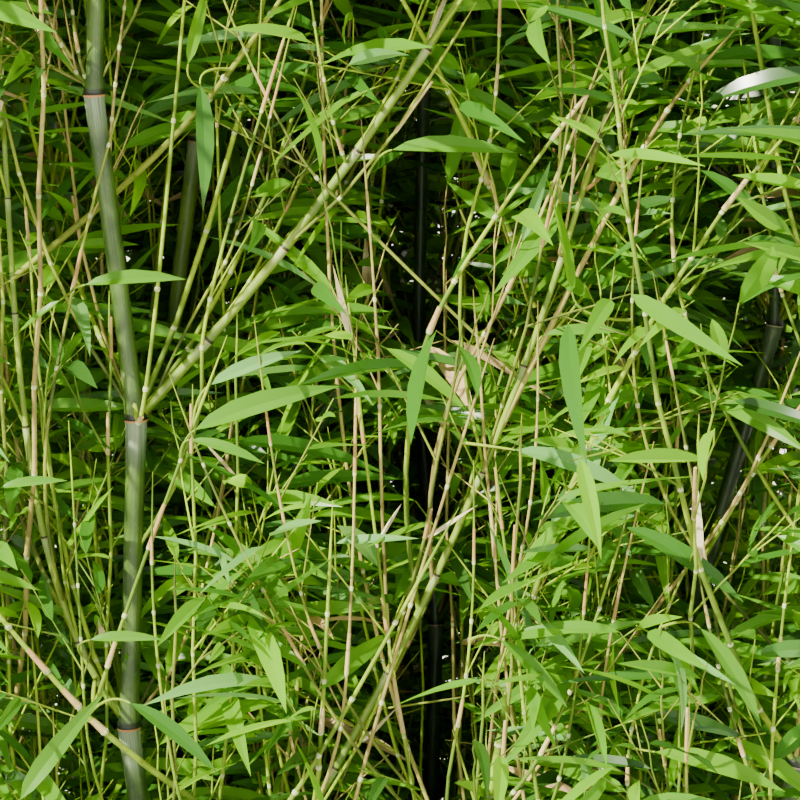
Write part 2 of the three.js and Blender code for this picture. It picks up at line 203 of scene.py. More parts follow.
# Its nodes: half a knuckle's length, how it swells, the pale ring's start, end and girth, and how a stem no
# stouter than this swells, which has neither.
KNUCKLE = 0.002
SWELLING = 1.3
RING = (-0.0032, -0.0008, 1.12)
PLAIN_STEM = 0.0010
PLAIN_SWELLING = 1.1
# Dry sheaths: those that wrap a stem, with their girths as shares of its own, and those that stand off it.
WRAP = {"chance": 0.18, "length": (0.018, 0.040), "loose": 1.5, "snug": 1.1}
DRY_BLADE = {"chance": 0.06, "length": (0.030, 0.060)}

# Twigs of the first and second order.
TWIG = {"length": (0.070, 0.115), "slope": 46, "range": 16, "closing": 0.7, "girth": 0.0008}
TWIGLET = {"length": (0.035, 0.060), "slope": 38, "girth": 0.0006, "places": (0.34, 0.56), "turn": 50}
TWIG_LEAVES = (0.48, 0.66, 0.84, 1.0)
TWIGLET_LEAVES = (0.50, 0.78, 1.0)
TWIG_ZIGZAG = 0.008
TWIG_TAPER = 0.45

# How a leaf hangs: how far it splays from its twig, droops and rolls, and how much that and its size vary.
SPLAY = 1.0
END_SPLAY = 0.15
SPLAY_RANGE = (0.8, 1.25)
LEAF_DROOP = 0.60
DROOP_RANGE = (0.5, 1.45)
ROLL = 58
SIZE_RANGE = (0.78, 1.22)
INNER_LEAF = 0.9
OUTER_LEAF = 1.1
# A blade's outline from root to tip, against its half width, and how its stations crowd toward the root.
OUTLINE = (
    (0.0, 0.0), (0.03, 0.12), (0.10, 0.62), (0.22, 0.95),
    (0.36, 1.0), (0.60, 0.78), (0.82, 0.40), (1.0, 0.0),
)
CROWDING = 1.3
# Edges of a flat blade this near its middle are its midrib, and points of a blade this close are merged.
MIDRIB_NEAR = 0.001
MERGE_NEAR = 0.0005
# The forms of leaf: sideways sweeps and twists, and the first form's share of each setting and its step.
SWEEPS = (0.03, -0.05, 0.06, -0.02, 0.0)
TWISTS = (0.5, -1.1, 0.3, 1.3, -0.4)
FORMS = {"Slimness": (1.12, -0.06), "Fold": (1.5, -0.25), "Bend": (0.1, 0.55)}
# Stations of a blade and of a sheath, and the sides of stems, twigs and the rings at nodes.
BLADE_STATIONS = 6
STEM_SIDES = 5
TWIG_SIDES = 4
RING_SIDES = 6
# Triangles of a leaf, about those of a stem or a twig, and the most in one piece.
LEAF_TRIANGLES = 16
TUBE_TRIANGLES = 40
MOST_TRIANGLES = 170000

# How far a leaf's tip drops as a share of its length, how far it keeps off limbs, and the shares of its
# length at which it is tried against limbs and against what shows, and a twig against what shows.
TIP_DROP = 0.1
LIMB_GAP = 0.002
TOUCH_SHARES = (0.3, 0.65, 1.0)
HIDING_SHARES = (0.15, 0.3, 0.45, 0.6, 0.75, 0.9, 1.0)
TWIG_SHARES = (0.0, 0.25, 0.5, 0.75, 1.0)

# The tints, each with the share of the sprays that bears it: bright is partly painted light, deep partly
# painted shade, and pale is painted sheen.
TINTS = {"mid": 0.40, "bright": 0.24, "deep": 0.19, "pale": 0.08, "dark": 0.08, "straw": 0.01}

# The front leaves by their pixels in the photograph: root x and y, tip x and y, and tint, which follows how
# lit
# the leaf looks: bright as painted light for sunlit ones, deep as painted shade for shaded ones, pale as
# painted sheen.
FRONT_LEAVES = [
    (195, 430, 328, 365, "mid"), (190, 440, 265, 450, "mid"), (210, 385, 292, 338, "pale"),
    (85, 285, 180, 262, "mid"), (385, 348, 475, 395, "bright"), (515, 450, 640, 470, "pale"),
    (625, 527, 755, 580, "deep"), (572, 292, 556, 165, "bright"), (522, 242, 550, 160, "pale"),
    (392, 150, 512, 130, "mid"), (705, 60, 812, 36, "deep"), (200, 84, 215, 205, "deep"),
    (188, 64, 210, -30, "bright"), (20, 800, 92, 690, "mid"), (130, 703, 225, 757, "deep"),
    (324, 812, 302, 738, "bright"), (700, 628, 778, 716, "mid"), (655, 752, 790, 770, "bright"),
    (0, 488, 62, 470, "mid"), (500, 640, 577, 695, "mid"), (655, 228, 592, 268, "deep"),
    (545, 335, 622, 318, "mid"), (480, 680, 392, 696, "mid"), (90, 640, 160, 628, "mid"),
    (610, 90, 548, 52, "mid"), (700, 170, 785, 215, "deep"), (60, 300, 0, 340, "mid"),
]
# The front stems: skin, radius in mm, and three places from foot to tip by their pixels in the photograph.
FRONT_STEMS = [
    ("green", 1.7, (137, 418), (153, 330), (187, -30)), ("green", 1.4, (202, 357), (222, 250), (290, 20)),
    ("olive", 1.0, (222, 268), (247, 202), (284, 60)), ("tan", 1.3, (96, 94), (66, 55), (36, -20)),
    ("olive", 1.4, (97, 92), (80, 60), (70, -20)), ("tan", 1.2, (111, 130), (118, 60), (128, -20)),
    ("olive", 1.3, (52, 395), (84, 240), (122, 100)), ("green", 1.5, (104, 678), (140, 572), (206, 392)),
    ("green", 2.3, (112, 738), (58, 684), (-20, 592)), ("green", 1.0, (84, 700), (79, 604), (72, 480)),
    ("green", 1.2, (168, 740), (155, 630), (152, 530)), ("olive", 1.2, (318, 690), (240, 545), (190, 430)),
    ("olive", 1.1, (325, 660), (290, 550), (262, 380)), ("tan", 1.3, (338, 740), (350, 620), (356, 380)),
    ("green", 1.7, (318, 775), (323, 700), (330, 560)), ("green", 1.8, (290, 800), (340, 720), (430, 560)),
    ("tan", 1.5, (355, 800), (400, 640), (476, 396)), ("green", 1.2, (345, 160), (327, 95), (308, -20)),
    ("olive", 1.2, (324, 186), (276, 115), (220, -10)), ("tan", 1.2, (380, 420), (376, 320), (366, 180)),
    ("olive", 2.2, (204, 104), (238, 60), (290, -14)), ("green", 1.8, (425, 345), (480, 240), (600, 78)),
    ("tan", 1.5, (478, 345), (526, 250), (592, 84)), ("tan", 1.9, (612, 206), (660, 122), (704, 64)),
    ("green", 1.4, (740, 210), (768, 160), (812, 96)), ("olive", 1.2, (712, 600), (690, 470), (664, 330)),
    ("green", 1.5, (730, 512), (765, 455), (806, 400)), ("tan", 1.3, (716, 530), (752, 470), (790, 380)),
    ("green", 1.5, (505, 800), (560, 715), (620, 540)), ("green", 1.2, (556, 790), (574, 700), (588, 560)),
    ("olive", 1.3, (748, 770), (722, 680), (704, 600)), ("green", 1.2, (628, 800), (640, 690), (690, 560)),
    ("tan", 1.2, (600, 730), (610, 640), (640, 500)), ("green", 1.3, (690, 330), (672, 220), (690, 90)),
    ("olive", 1.2, (640, 420), (632, 320), (640, 190)), ("green", 1.2, (455, 740), (470, 640), (474, 520)),
    ("tan", 1.1, (520, 560), (534, 470), (538, 360)), ("green", 1.4, (770, 800), (776, 690), (790, 560)),
    ("green", 1.3, (478, 190), (494, 110), (500, -10)), ("tan", 1.1, (560, 250), (575, 150), (570, 20)),
]
# The canes that show between the leaves: the cane's number, and the rows of pixels between which it shows.
# The first few boughs show too, and are read at every so many of their points.
SHOWN_CANES = [
    (1, -60, 860), (2, 140, 330), (3, 96, 345), (3, 430, 520), (3, 600, 800), (4, 300, 390), (4, 430, 610),
]
SHOWN_BOUGHS = 3
BOUGH_STRIDE = 3
# How far from the camera the front leaves are, and how far behind them a front stem's foot and middle are,
# and its whole line where it is only kept clear.
FRONT_DEPTH = 1.535
FOOT_BEHIND = 0.030
MIDDLE_BEHIND = 0.015
STEMS_BEHIND = 0.02
# The room that is kept before what shows, in pixels, and its share for limbs, front leaves and front stems.
CLEARANCE = 8
TWIG_CLEARANCE = 2
LIMB_BERTH = 1.0
LEAF_BERTH = 0.7
STEM_BERTH = 0.2
# A front stem's steps before its foot and beyond it, how it eases out of its limb, its taper and its spear.
HIDDEN_STEPS = 6
SHOWN_STEPS = 12
EASE_OUT = 0.45
FRONT_TAPER = 0.6
SPEAR = 0.035
# What it bears: a node and a twig at every so many points, two rings on each node with their starts, ends
# and girths, wraps on some, and side twigs.
NODE_EVERY = 3
TWIG_EVERY = 2
FRONT_RINGS = ((-0.0014, 0.0014, 1.25), (-0.0002, 0.0004, 1.45))
FRONT_WRAP = {"chance": 0.40, "length": 1.6, "loose": 1.4}
FRONT_TWIG = {"length": 0.07, "slope": (18, 40), "axis": Vector((0.3, 1, 0.2))}
# It leaves a limb that shows within so many pixels of its foot and lies so near, or one this far below.
AT_FOOT = 12
SHALLOW = 0.14
ROOT_BELOW = 0.150
# A front leaf: how much nearer its tip is, the way it faces, the form it has, and the twig that bears it.
# That twig comes from the nearest spot, where each metre ahead or above costs so much more.
LEAF_FORWARD = 0.006
LEAF_FACE = Vector((0.25, -0.55, 0.8))
LEAF_FORM = 1
TWIG_EASE = 0.4
TWIG_STEPS = 8
TWIG_GIRTHS = (0.0010, 0.0006)
AHEAD = {"slack": 0.012, "cost": 4}
ABOVE = {"slack": 0.005, "cost": 1.5}
# Nothing further off than this, or further out of the picture, can hide what shows.
DEEP = 0.50
OUTSIDE = 60

# The photograph's camera: it looks along +Y, this far down, at this point and from this far.
LOOK_DOWN = 9
AIM = Vector((0.010, -0.120, 1.150))
DISTANCE = 1.600
HALF_VIEW = 0.15
PICTURE = 800
FORWARD = np.array((0, math.cos(math.radians(LOOK_DOWN)), -math.sin(math.radians(LOOK_DOWN))))
UPWARD = np.array((0, math.sin(math.radians(LOOK_DOWN)), math.cos(math.radians(LOOK_DOWN))))

# A cane's swelling at a node, told for this radius: a scar's ring and a groove by size as a share of it,
# height over the node and width, and the flares over and under the node by size and reach.
FULL_GIRTH = 0.0062
SLENDER = 0.93
NODE_RING = (0.10, -0.0006, 0.0009)
NODE_GROOVE = (-0.07, 0.0013, 0.0008)
FLARE_OVER = (0.22, 0.016)
FLARE_UNDER = (0.13, 0.024)
# A groove over each branch: where it starts and ends over the node, and its half width in radians.
GROOVE_START = 0.003
GROOVE_END = 0.11
GROOVE_WIDTH = 0.55
# Bark further from a node than this shows nothing of it.
PLAIN_BARK = 0.09
# The rings of a cane near a node, how near that is, and how close two rings may lie there or elsewhere.
NODE_STEPS = (
    -0.026, -0.012, -0.005, -0.0024, -0.0016, -0.0010, -0.0005, -0.00001, 0.00001, 0.0005, 0.0012, 0.0020,
    0.0030, 0.0042, 0.0056, 0.0080, 0.0120, 0.0190, 0.0300,
)
NODE_REACH = 0.031
CLOSEST = 0.000005
STRIDE_SHARE = 0.4
# Canes and boughs: the sides, the depth of the grooves and how far apart plain rings are.
CANE = {"sides": 24, "groove": 0.16, "stride": 0.030}
BOUGH = {"sides": 14, "groove": 0.10, "stride": 0.020}
# How far canes reach into the soil, how far over its last node a cane narrows to its crown's stem and how
# closely it fits that, and how far from the cane's middle a bough starts, as a share of the cane's radius.
CANE_SUNK = 0.004
BEYOND_LAST = 0.004
CROWN_FIT = 1.12
BOUGH_SUNK = 0.7

# Leaves: their sheen, the gloss and the light let through for each tint, and that light's gains by colour.
LEAF_SHEEN = 0.32
LEAF_FINISH = {
    "mid": (0.32, 0.50), "bright": (0.32, 0.58), "deep": (0.27, 0.42), "pale": (0.27, 0.32),
    "dark": (0.25, 0.30), "straw": (0.62, 0.30),
}
GLOW = (1.9, 1.5, 1.0)
# Barks: name, light and dark green, bloom, scar and how much bloom there is, and the bark of each cane.
BARKS = {
    "grey": (
        "cane_grey_green", (0.080, 0.150, 0.020), (0.020, 0.048, 0.007),
        (0.30, 0.36, 0.26), (0.50, 0.20, 0.07), 0.8,
    ),
    "fresh": (
        "cane_fresh_green", (0.240, 0.370, 0.050), (0.100, 0.190, 0.028),
        (0.42, 0.48, 0.34), (0.45, 0.26, 0.12), 0.6,
    ),
    "dark": (
        "cane_dark_green", (0.042, 0.085, 0.016), (0.014, 0.030, 0.007),
        (0.17, 0.22, 0.12), (0.42, 0.33, 0.22), 0.6,
    ),
    "bough": (
        "bough_skin", (0.240, 0.345, 0.022), (0.085, 0.155, 0.012),
        (0.52, 0.58, 0.34), (0.50, 0.30, 0.15), 0.45,
    ),
}
CANE_BARKS = (
    "grey", "fresh", "dark", "dark", "dark", "grey", "dark", "fresh", "fresh", "fresh", "dark", "fresh",
)
# Bark: scales and noise of its patches, fibres and specks, the ranges in which light patches, specks and
# worn places show and how much, how far from a node each mark starts and is full, gloss and relief.
BARK = {
    "patches": 34.0, "fibres": (9.0, 9.0, 14.0), "specks": (16.0, 16.0, 260.0),
    "fibre_noise": (1.0, 4.0, 0.7), "speck_noise": (1.0, 2.0),
    "fibre_share": 0.8, "light": (0.62, 1.2), "specked": (0.62, 0.74), "speck_share": 0.35,
    "worn": (0.25, 0.62), "bloom": (0.034, 0.002), "scar": (0.0016, 0.0010),
    "node_band": (0.0046, 0.0030), "node_band_share": 0.92, "gloss": (0.0, 1.0, 0.34, 0.72),
    "relief": 0.25, "depth": 0.0004,
}
# The near-black colour of the band just over each node.
NODE_BAND_COLOUR = (0.010, 0.012, 0.008, 1)
# Clay: its noises by scale, detail and roughness, how dark its darker parts are, the range in which each
# mark shows, and for some from how much to how much, and its relief.
CLAY = {
    "clouds": (7.0, 5.0, 0.6), "grit": (900.0, 2.0), "patches": (5.0, 8.0, 0.7),
    "turned": (2.0, 2.0, 420.0), "line_noise": (1.0, 3.0), "fired": 0.72,
    "cloudy": (0.3, 0.7), "lined": (0.35, 0.75, 0.0, 0.25), "bloom": (0.42, 0.78),
    "low_down": (0.40, 0.08, 0.2, 0.6), "uneven": 0.06, "damp": (0.075, 0.03, 0.0, 0.6),
    "specked": (0.66, 0.74, 0.0, 0.6), "gloss": (0.3, 0.7, 0.72, 0.92),
    "line_relief": 0.7, "grit_relief": 0.5, "relief": 0.35, "depth": 0.0008,
}
DAMP_CLAY = (0.13, 0.055, 0.030, 1)
GRIT_CLAY = (0.16, 0.06, 0.03, 1)
# Every matt finish: detail of its patches and grain, where the second colour shows, how far painted shade
# darkens the grain's hollow places, its gloss, its depth and its sheen.
MATT = {
    "patch_detail": 4.0, "grain_detail": 2.0, "patches": (0.36, 0.64), "hollow_shade": (0.2, 0.5, 0.35, 0.0),
    "gloss": (0.3, 0.7, 0.55, 0.9), "depth": 0.001, "sheen": 0.25,
}
# Black, the colour of the painted shade in the hollow places of a matt finish's grain.
BLACK = (0.0, 0.0, 0.0, 1)
# Matt finishes: name, two colours, the scales of their patches and grain, and the relief of some.
STEM_SKINS = {
    "green": ("twig_green", (0.275, 0.385, 0.020), (0.075, 0.140, 0.010), 12.0, 300.0),
    "olive": ("twig_olive", (0.235, 0.280, 0.030), (0.060, 0.085, 0.012), 12.0, 300.0),
    "tan": ("twig_tan", (0.410, 0.340, 0.095), (0.190, 0.150, 0.040), 12.0, 300.0),
    "paper": ("sheath_tube", (0.480, 0.380, 0.150), (0.350, 0.210, 0.070), 14.0, 400.0),
}
WAX = ("node_wax", (0.540, 0.580, 0.300), (0.340, 0.380, 0.170), 60.0, 900.0)
PAPER = ("sheath_paper", (0.660, 0.570, 0.360), (0.450, 0.340, 0.180), 30.0, 500.0)
EARTH = ("soil_earth", (0.050, 0.031, 0.020), (0.025, 0.016, 0.011), 60.0, 420.0, 0.8)
BARK_CHIP = ("bark_chip", (0.095, 0.046, 0.021), (0.040, 0.021, 0.012), 90.0, 700.0, 0.6)
SHEATH = {"Slimness": 11.0, "Fold": 2.2, "Bend": -0.05, "Stations": BLADE_STATIONS}

# Sides of the pot, of its drains and of the soil, the soil's rings, and its lumps: scales of the coarse and
# the fine ones, the layer of noise that the fine ones are read from, and their share.
POT_SIDES = 128
DRAIN_SIDES = 24
SOIL_SIDES = 120
SOIL_RINGS = 44
COARSE = 34
FINER = 120
FINER_LAYER = 0.3
FINER_SHARE = 0.5
# The most of a side that a rounded corner takes up.
CORNER_SHARE = 0.45
# Chips of bark: the circle that they lie in, their length, how high they lie, how their way turns as they
# go round, how far it and their face lean, their seed, a chip's block, and its corners' stray and its seed.
CHIP_CIRCLE = 0.200
CHIP_LENGTH = (0.008, 0.022)
CHIP_RISE = 0.0015
CHIP_TURNS = 7
CHIP_LEAN = 0.25
CHIP_TIP = 0.4
CHIP_SEED = 7
CHIP_BLOCK = (1.0, 0.55, 0.24)
CHIP_STRAY = 0.0012
STRAY_SEED = 5

# The stage: half the floor's side, how dark its darker patches are and its finish, and each light's
# bearing, height, softness and colour.
FLOOR_HALF = 40.0
FLOOR_SHADE = 0.96
FLOOR = {"patches": 3.0, "grain": 200.0, "relief": 0.02}
LIGHTS = {"key": (224, 40, 1.2, (1.0, 0.95, 0.80)), "back": (112, 38, 4.0, (1.0, 0.96, 0.84))}
LIGHT_AWAY = 10
SKY = (0.94, 0.96, 0.96)
SENSOR = 36


class PlantSettings(bpy.types.PropertyGroup):
    """What a user would change on the plant."""

    seed: bpy.props.IntProperty(name="Seed", description="Seed of the twigs and leaves", default=101, min=0)
    leaf_length: bpy.props.FloatProperty(
        name="Leaf length", description="Length of a middling leaf", default=0.069, unit="LENGTH"
    )
    leaf_slimness: bpy.props.FloatProperty(
        name="Leaf slimness", description="Length of a leaf over its width", default=7.8
    )
    leaf_fold: bpy.props.FloatProperty(
        name="Leaf fold", description="How far a leaf folds along its midrib", default=0.50
    )
    leaf_bend: bpy.props.FloatProperty(
        name="Leaf bend", description="How far a leaf's tip bends, as a share of its length", default=0.13
    )
    mid: bpy.props.FloatVectorProperty(
        name="Mid green", description="Tint of most leaves", subtype="COLOR",
        default=(0.100, 0.285, 0.014),
    )
    # Bright green is a lighter yellow-green, partly painted light that stands in for the glow of sunlit,
    # backlit leaves.
    bright: bpy.props.FloatVectorProperty(
        name="Bright green", description="Tint of young leaves", subtype="COLOR",
        default=(0.150, 0.385, 0.010),
    )
    # Deep green is a darker green dealt out to sprays, and painted shade for the front leaves that lie in
    # shade.
    deep: bpy.props.FloatVectorProperty(
        name="Deep green", description="Tint of older leaves", subtype="COLOR",
        default=(0.045, 0.160, 0.014),
    )
    # Pale green is painted sheen: a whitish grey-green that stands in for the sky's reflection on glossy
    # blades.
    pale: bpy.props.FloatVectorProperty(
        name="Pale green", description="Tint of leaves seen from below", subtype="COLOR",
        default=(0.120, 0.300, 0.070),
    )
    dark: bpy.props.FloatVectorProperty(
        name="Dark green", description="Tint of the oldest leaves", subtype="COLOR",
        default=(0.028, 0.090, 0.012),
    )
    straw: bpy.props.FloatVectorProperty(
        name="Straw", description="Tint of dry leaves", subtype="COLOR",
        default=(0.520, 0.360, 0.170),
    )


class PotSettings(bpy.types.PropertyGroup):
    """What a user would change on the pot and its soil."""

    clay: bpy.props.FloatVectorProperty(
        name="Clay", description="Colour of the fired clay", subtype="COLOR",
        default=(0.270, 0.066, 0.022),
    )
    lime: bpy.props.FloatVectorProperty(
        name="Lime", description="Colour of the pale bloom on the clay", subtype="COLOR",
        default=(0.400, 0.235, 0.150),
    )
    soil_relief: bpy.props.FloatProperty(
        name="Soil relief", description="Height of the lumps in the soil", default=0.004, unit="LENGTH"
    )
    chips: bpy.props.IntProperty(name="Chips", description="Chips of bark on the soil", default=900, min=0)


class StageSettings(bpy.types.PropertyGroup):
    """The floor and the lights."""

    floor: bpy.props.FloatVectorProperty(
        name="Floor", description="Colour of the floor", subtype="COLOR",
        default=(0.48, 0.47, 0.44),
    )
    key: bpy.props.FloatProperty(name="Key light", description="Strength of the key light", default=18.0)
    back: bpy.props.FloatProperty(name="Back light", description="Strength of the back light", default=10.0)
    sky: bpy.props.FloatProperty(name="Sky", description="Strength of the even light", default=1.80)


# Node trees

def feed(tree, node, values):
    """Links each named input of a node to a socket, or gives it its value."""
    for key, value in values.items():
        if isinstance(value, bpy.types.NodeSocket):
            tree.links.new(value, node.inputs[key])
        else:
            node.inputs[key].default_value = value


def put(tree, kind, inputs=None, **settings):
    """Adds a node with its settings and its inputs."""
    made = tree.nodes.new(kind)
    for name, value in settings.items():
        setattr(made, name, value)
    feed(tree, made, inputs or {})
    return made


def maths(tree, operation, first, second=0.0):
    """The result of one Math node."""
    return put(tree, "ShaderNodeMath", {0: first, 1: second}, operation=operation).outputs[0]


def plus(tree, first, second):
    """The sum of two values."""
    return maths(tree, "ADD", first, second)


def times(tree, first, second):
    """The product of two values."""
    return maths(tree, "MULTIPLY", first, second)


def ramped(tree, value, low, high, bottom=0.0, top=1.0):
    """A value carried smoothly from one range to another."""
    inputs = {"Value": value, "From Min": low, "From Max": high, "To Min": bottom, "To Max": top}
    return put(tree, "ShaderNodeMapRange", inputs, interpolation_type="SMOOTHSTEP").outputs[0]


def blended(tree, share, first, second):
    """Two colours mixed by a share."""
    return put(tree, "ShaderNodeMix", {0: share, 6: first, 7: second}, data_type="RGBA").outputs[2]


def mottle(tree, vector, scale, detail=3.0, rough=0.55):
    """Noise from 0 to 1 over a vector."""
    inputs = {"Vector": vector, "Scale": scale, "Detail": detail, "Roughness": rough}
    return put(tree, "ShaderNodeTexNoise", inputs).outputs[0]


def stretched(tree, vector, scale):
    """A vector scaled on each axis."""
    return put(tree, "ShaderNodeMapping", {"Vector": vector, "Scale": scale}).outputs[0]


def new_tree(name, kind, inputs, outputs):
    """A node group with named sockets, and its input and output nodes."""
    tree = bpy.data.node_groups.new(name, kind)
    for in_out, sockets in (("INPUT", inputs), ("OUTPUT", outputs)):
        for label, carries in sockets.items():
            tree.interface.new_socket(label, in_out=in_out, socket_type="NodeSocket" + carries)
    return tree, tree.nodes.new("NodeGroupInput"), tree.nodes.new("NodeGroupOutput")


def by_name(tree, name, kind="FLOAT"):
    """A named attribute of a mesh's points."""
    return put(tree, "GeometryNodeInputNamedAttribute", {"Name": name}, data_type=kind).outputs[0]


def opaque(colour):
    """A colour with full alpha."""
    return (*colour, 1.0)


# Materials

def new_material(name):
    """An empty material with its Principled shader, and its tree."""
    material = bpy.data.materials.new(name)
    material.use_nodes = True
    tree = material.node_tree
    return material, tree, tree.nodes["Principled BSDF"]


def leaf_material(name, colour, gloss, through):
    """A leaf's plain tint, with light that comes through the blade."""
    material, tree, shader = new_material(name)
    values = {"Base Color": opaque(colour), "Roughness": gloss, "Specular IOR Level": LEAF_SHEEN}
    feed(tree, shader, values)
    lit = opaque([min(1.0, part * gain) for part, gain in zip(colour, GLOW)])
    glow = put(tree, "ShaderNodeBsdfTranslucent", {"Color": lit})
    mixed = put(tree, "ShaderNodeMixShader", {0: through, 1: shader.outputs[0], 2: glow.outputs[0]})
    feed(tree, tree.nodes["Material Output"], {"Surface": mixed.outputs[0]})
    return material


def grouped_material(name, group, inputs, relief, depth, sheen=0.5):
    """A material whose colour, roughness and height come from a shared group."""
    material, tree, shader = new_material(name)
    skin = put(tree, "ShaderNodeGroup", inputs, node_tree=group)
    height = {"Height": skin.outputs["Height"], "Strength": relief, "Distance": depth}
    bump = put(tree, "ShaderNodeBump", height)
    feed(tree, shader, {
        "Base Color": skin.outputs["Color"],
        "Roughness": skin.outputs["Roughness"],
        "Normal": bump.outputs[0],
        "Specular IOR Level": sheen,
    })
    return material


@functools.lru_cache(maxsize=None)
def cane_skin():
    """Bark: fibres along the cane, a pale bloom under each node, and a dark line and a tan scar at it."""
    tree, given, result = new_tree(
        "cane_skin",
        "ShaderNodeTree",
        {"Light": "Color", "Dark": "Color", "Bloom": "Color", "Scar": "Color", "Bloom amount": "Float"},
        {"Color": "Color", "Roughness": "Float", "Height": "Float"},
    )
    place = put(tree, "ShaderNodeTexCoord").outputs["Object"]
    grain = put(tree, "ShaderNodeAttribute", attribute_name="grain").outputs["Vector"]
    under = put(tree, "ShaderNodeAttribute", attribute_name="under").outputs["Fac"]
    over = put(tree, "ShaderNodeAttribute", attribute_name="over").outputs["Fac"]
    patches = mottle(tree, place, BARK["patches"])
    fibres = mottle(tree, stretched(tree, grain, BARK["fibres"]), *BARK["fibre_noise"])
    specks = mottle(tree, stretched(tree, grain, BARK["specks"]), *BARK["speck_noise"])
    share = ramped(tree, plus(tree, patches, times(tree, fibres, BARK["fibre_share"])), *BARK["light"])
    skin = blended(tree, share, given.outputs["Dark"], given.outputs["Light"])
    speck = times(tree, ramped(tree, specks, *BARK["specked"]), BARK["speck_share"])
    skin = blended(tree, speck, skin, given.outputs["Bloom"])
    near = ramped(tree, under, *BARK["bloom"])
    worn = ramped(tree, fibres, *BARK["worn"])
    bloom = times(tree, times(tree, near, worn), given.outputs["Bloom amount"])
    skin = blended(tree, bloom, skin, given.outputs["Bloom"])
    # A near-black band just over each node.
    node_band_mask = times(tree, ramped(tree, over, *BARK["node_band"]), BARK["node_band_share"])
    skin = blended(tree, node_band_mask, skin, NODE_BAND_COLOUR)
    scar = ramped(tree, under, *BARK["scar"])
    skin = blended(tree, scar, skin, given.outputs["Scar"])
    gloss = ramped(tree, bloom, *BARK["gloss"])
    feed(tree, result, {"Color": skin, "Roughness": gloss, "Height": fibres})
    return tree


def cane_material(name, light, dark, bloom, scar, amount):
    """A cane or branch of its own greens, with the shared bark."""
    colours = {"Light": opaque(light), "Dark": opaque(dark), "Bloom": opaque(bloom), "Scar": opaque(scar)}
    inputs = {**colours, "Bloom amount": amount}
    return grouped_material(name, cane_skin(), inputs, BARK["relief"], BARK["depth"])


@functools.lru_cache(maxsize=None)
def patchy():
    """Soft patches of two colours by Object coordinates, and a finer grain for gloss, height and painted
    shade.
    """
    tree, given, result = new_tree(
        "patchy",
        "ShaderNodeTree",
        {"First": "Color", "Second": "Color", "Patches": "Float", "Grain": "Float"},
        {"Color": "Color", "Roughness": "Float", "Height": "Float"},
    )
    place = put(tree, "ShaderNodeTexCoord").outputs["Object"]
    patches = mottle(tree, place, given.outputs["Patches"], MATT["patch_detail"])
    grain = mottle(tree, place, given.outputs["Grain"], MATT["grain_detail"])
    share = ramped(tree, patches, *MATT["patches"])
    mixed = blended(tree, share, given.outputs["First"], given.outputs["Second"])
    # Painted shade: where the grain is low, the colour is darkened toward black.
    shaded = blended(tree, ramped(tree, grain, *MATT["hollow_shade"]), mixed, BLACK)
    gloss = ramped(tree, grain, *MATT["gloss"])
    feed(tree, result, {"Color": shaded, "Roughness": gloss, "Height": grain})
    return tree


def patchy_material(name, first, second, patches, grain, relief=0.3):
    """A matt finish in patches of two colours."""
    inputs = {"First": opaque(first), "Second": opaque(second), "Patches": patches, "Grain": grain}
    return grouped_material(name, patchy(), inputs, relief, MATT["depth"], MATT["sheen"])


def clay_material(clay, lime):
    """Fired clay: turning lines, grit, a pale lime bloom in patches and a damp, darker foot."""
    material, tree, shader = new_material("terracotta")
    place = put(tree, "ShaderNodeTexCoord").outputs["Object"]
    height = put(tree, "ShaderNodeSeparateXYZ", {0: place}).outputs[2]
    clouds = mottle(tree, place, *CLAY["clouds"])
    grit = mottle(tree, place, *CLAY["grit"])
    lines = mottle(tree, stretched(tree, place, CLAY["turned"]), *CLAY["line_noise"])
    fired = opaque([part * CLAY["fired"] for part in clay])
    body = blended(tree, ramped(tree, clouds, *CLAY["cloudy"]), fired, opaque(clay))
    body = blended(tree, ramped(tree, lines, *CLAY["lined"]), body, opaque(lime))
    patches = mottle(tree, place, *CLAY["patches"])
    low_down = ramped(tree, height, *CLAY["low_down"])
    bloom = times(tree, ramped(tree, patches, *CLAY["bloom"]), low_down)
    body = blended(tree, bloom, body, opaque(lime))
    uneven = plus(tree, height, times(tree, clouds, CLAY["uneven"]))
    damp = ramped(tree, uneven, *CLAY["damp"])
    body = blended(tree, damp, body, DAMP_CLAY)
    speck = ramped(tree, grit, *CLAY["specked"])
    body = blended(tree, speck, body, GRIT_CLAY)
    relief = plus(tree, times(tree, lines, CLAY["line_relief"]), times(tree, grit, CLAY["grit_relief"]))
    height_map = {"Height": relief, "Strength": CLAY["relief"], "Distance": CLAY["depth"]}
    bump = put(tree, "ShaderNodeBump", height_map)
    gloss = ramped(tree, clouds, *CLAY["gloss"])
    feed(tree, shader, {"Base Color": body, "Roughness": gloss, "Normal": bump.outputs[0]})
    return material


# Meshes

def new_piece(name, vertices, faces, material, smooth=True):
    """A mesh object at the origin."""
    mesh = bpy.data.meshes.new(name)
    mesh.from_pydata([tuple(v) for v in vertices], [], [tuple(f) for f in faces])
    mesh.update()
    mesh.polygons.foreach_set("use_smooth", [smooth] * len(mesh.polygons))
    mesh.materials.append(material)
    piece = bpy.data.objects.new(name, mesh)
    bpy.context.scene.collection.objects.link(piece)
    return piece


def store(mesh, name, kind, values):
    """Writes one value for each point of a mesh as a named attribute."""
    attribute = mesh.attributes.new(name, kind, "POINT")
    field = "vector" if kind == "FLOAT_VECTOR" else "value"
    attribute.data.foreach_set(field, np.asarray(values, np.float32).ravel())


def unit(rows):
    """Each row at length 1."""
    return rows / np.linalg.norm(rows, axis=-1, keepdims=True)


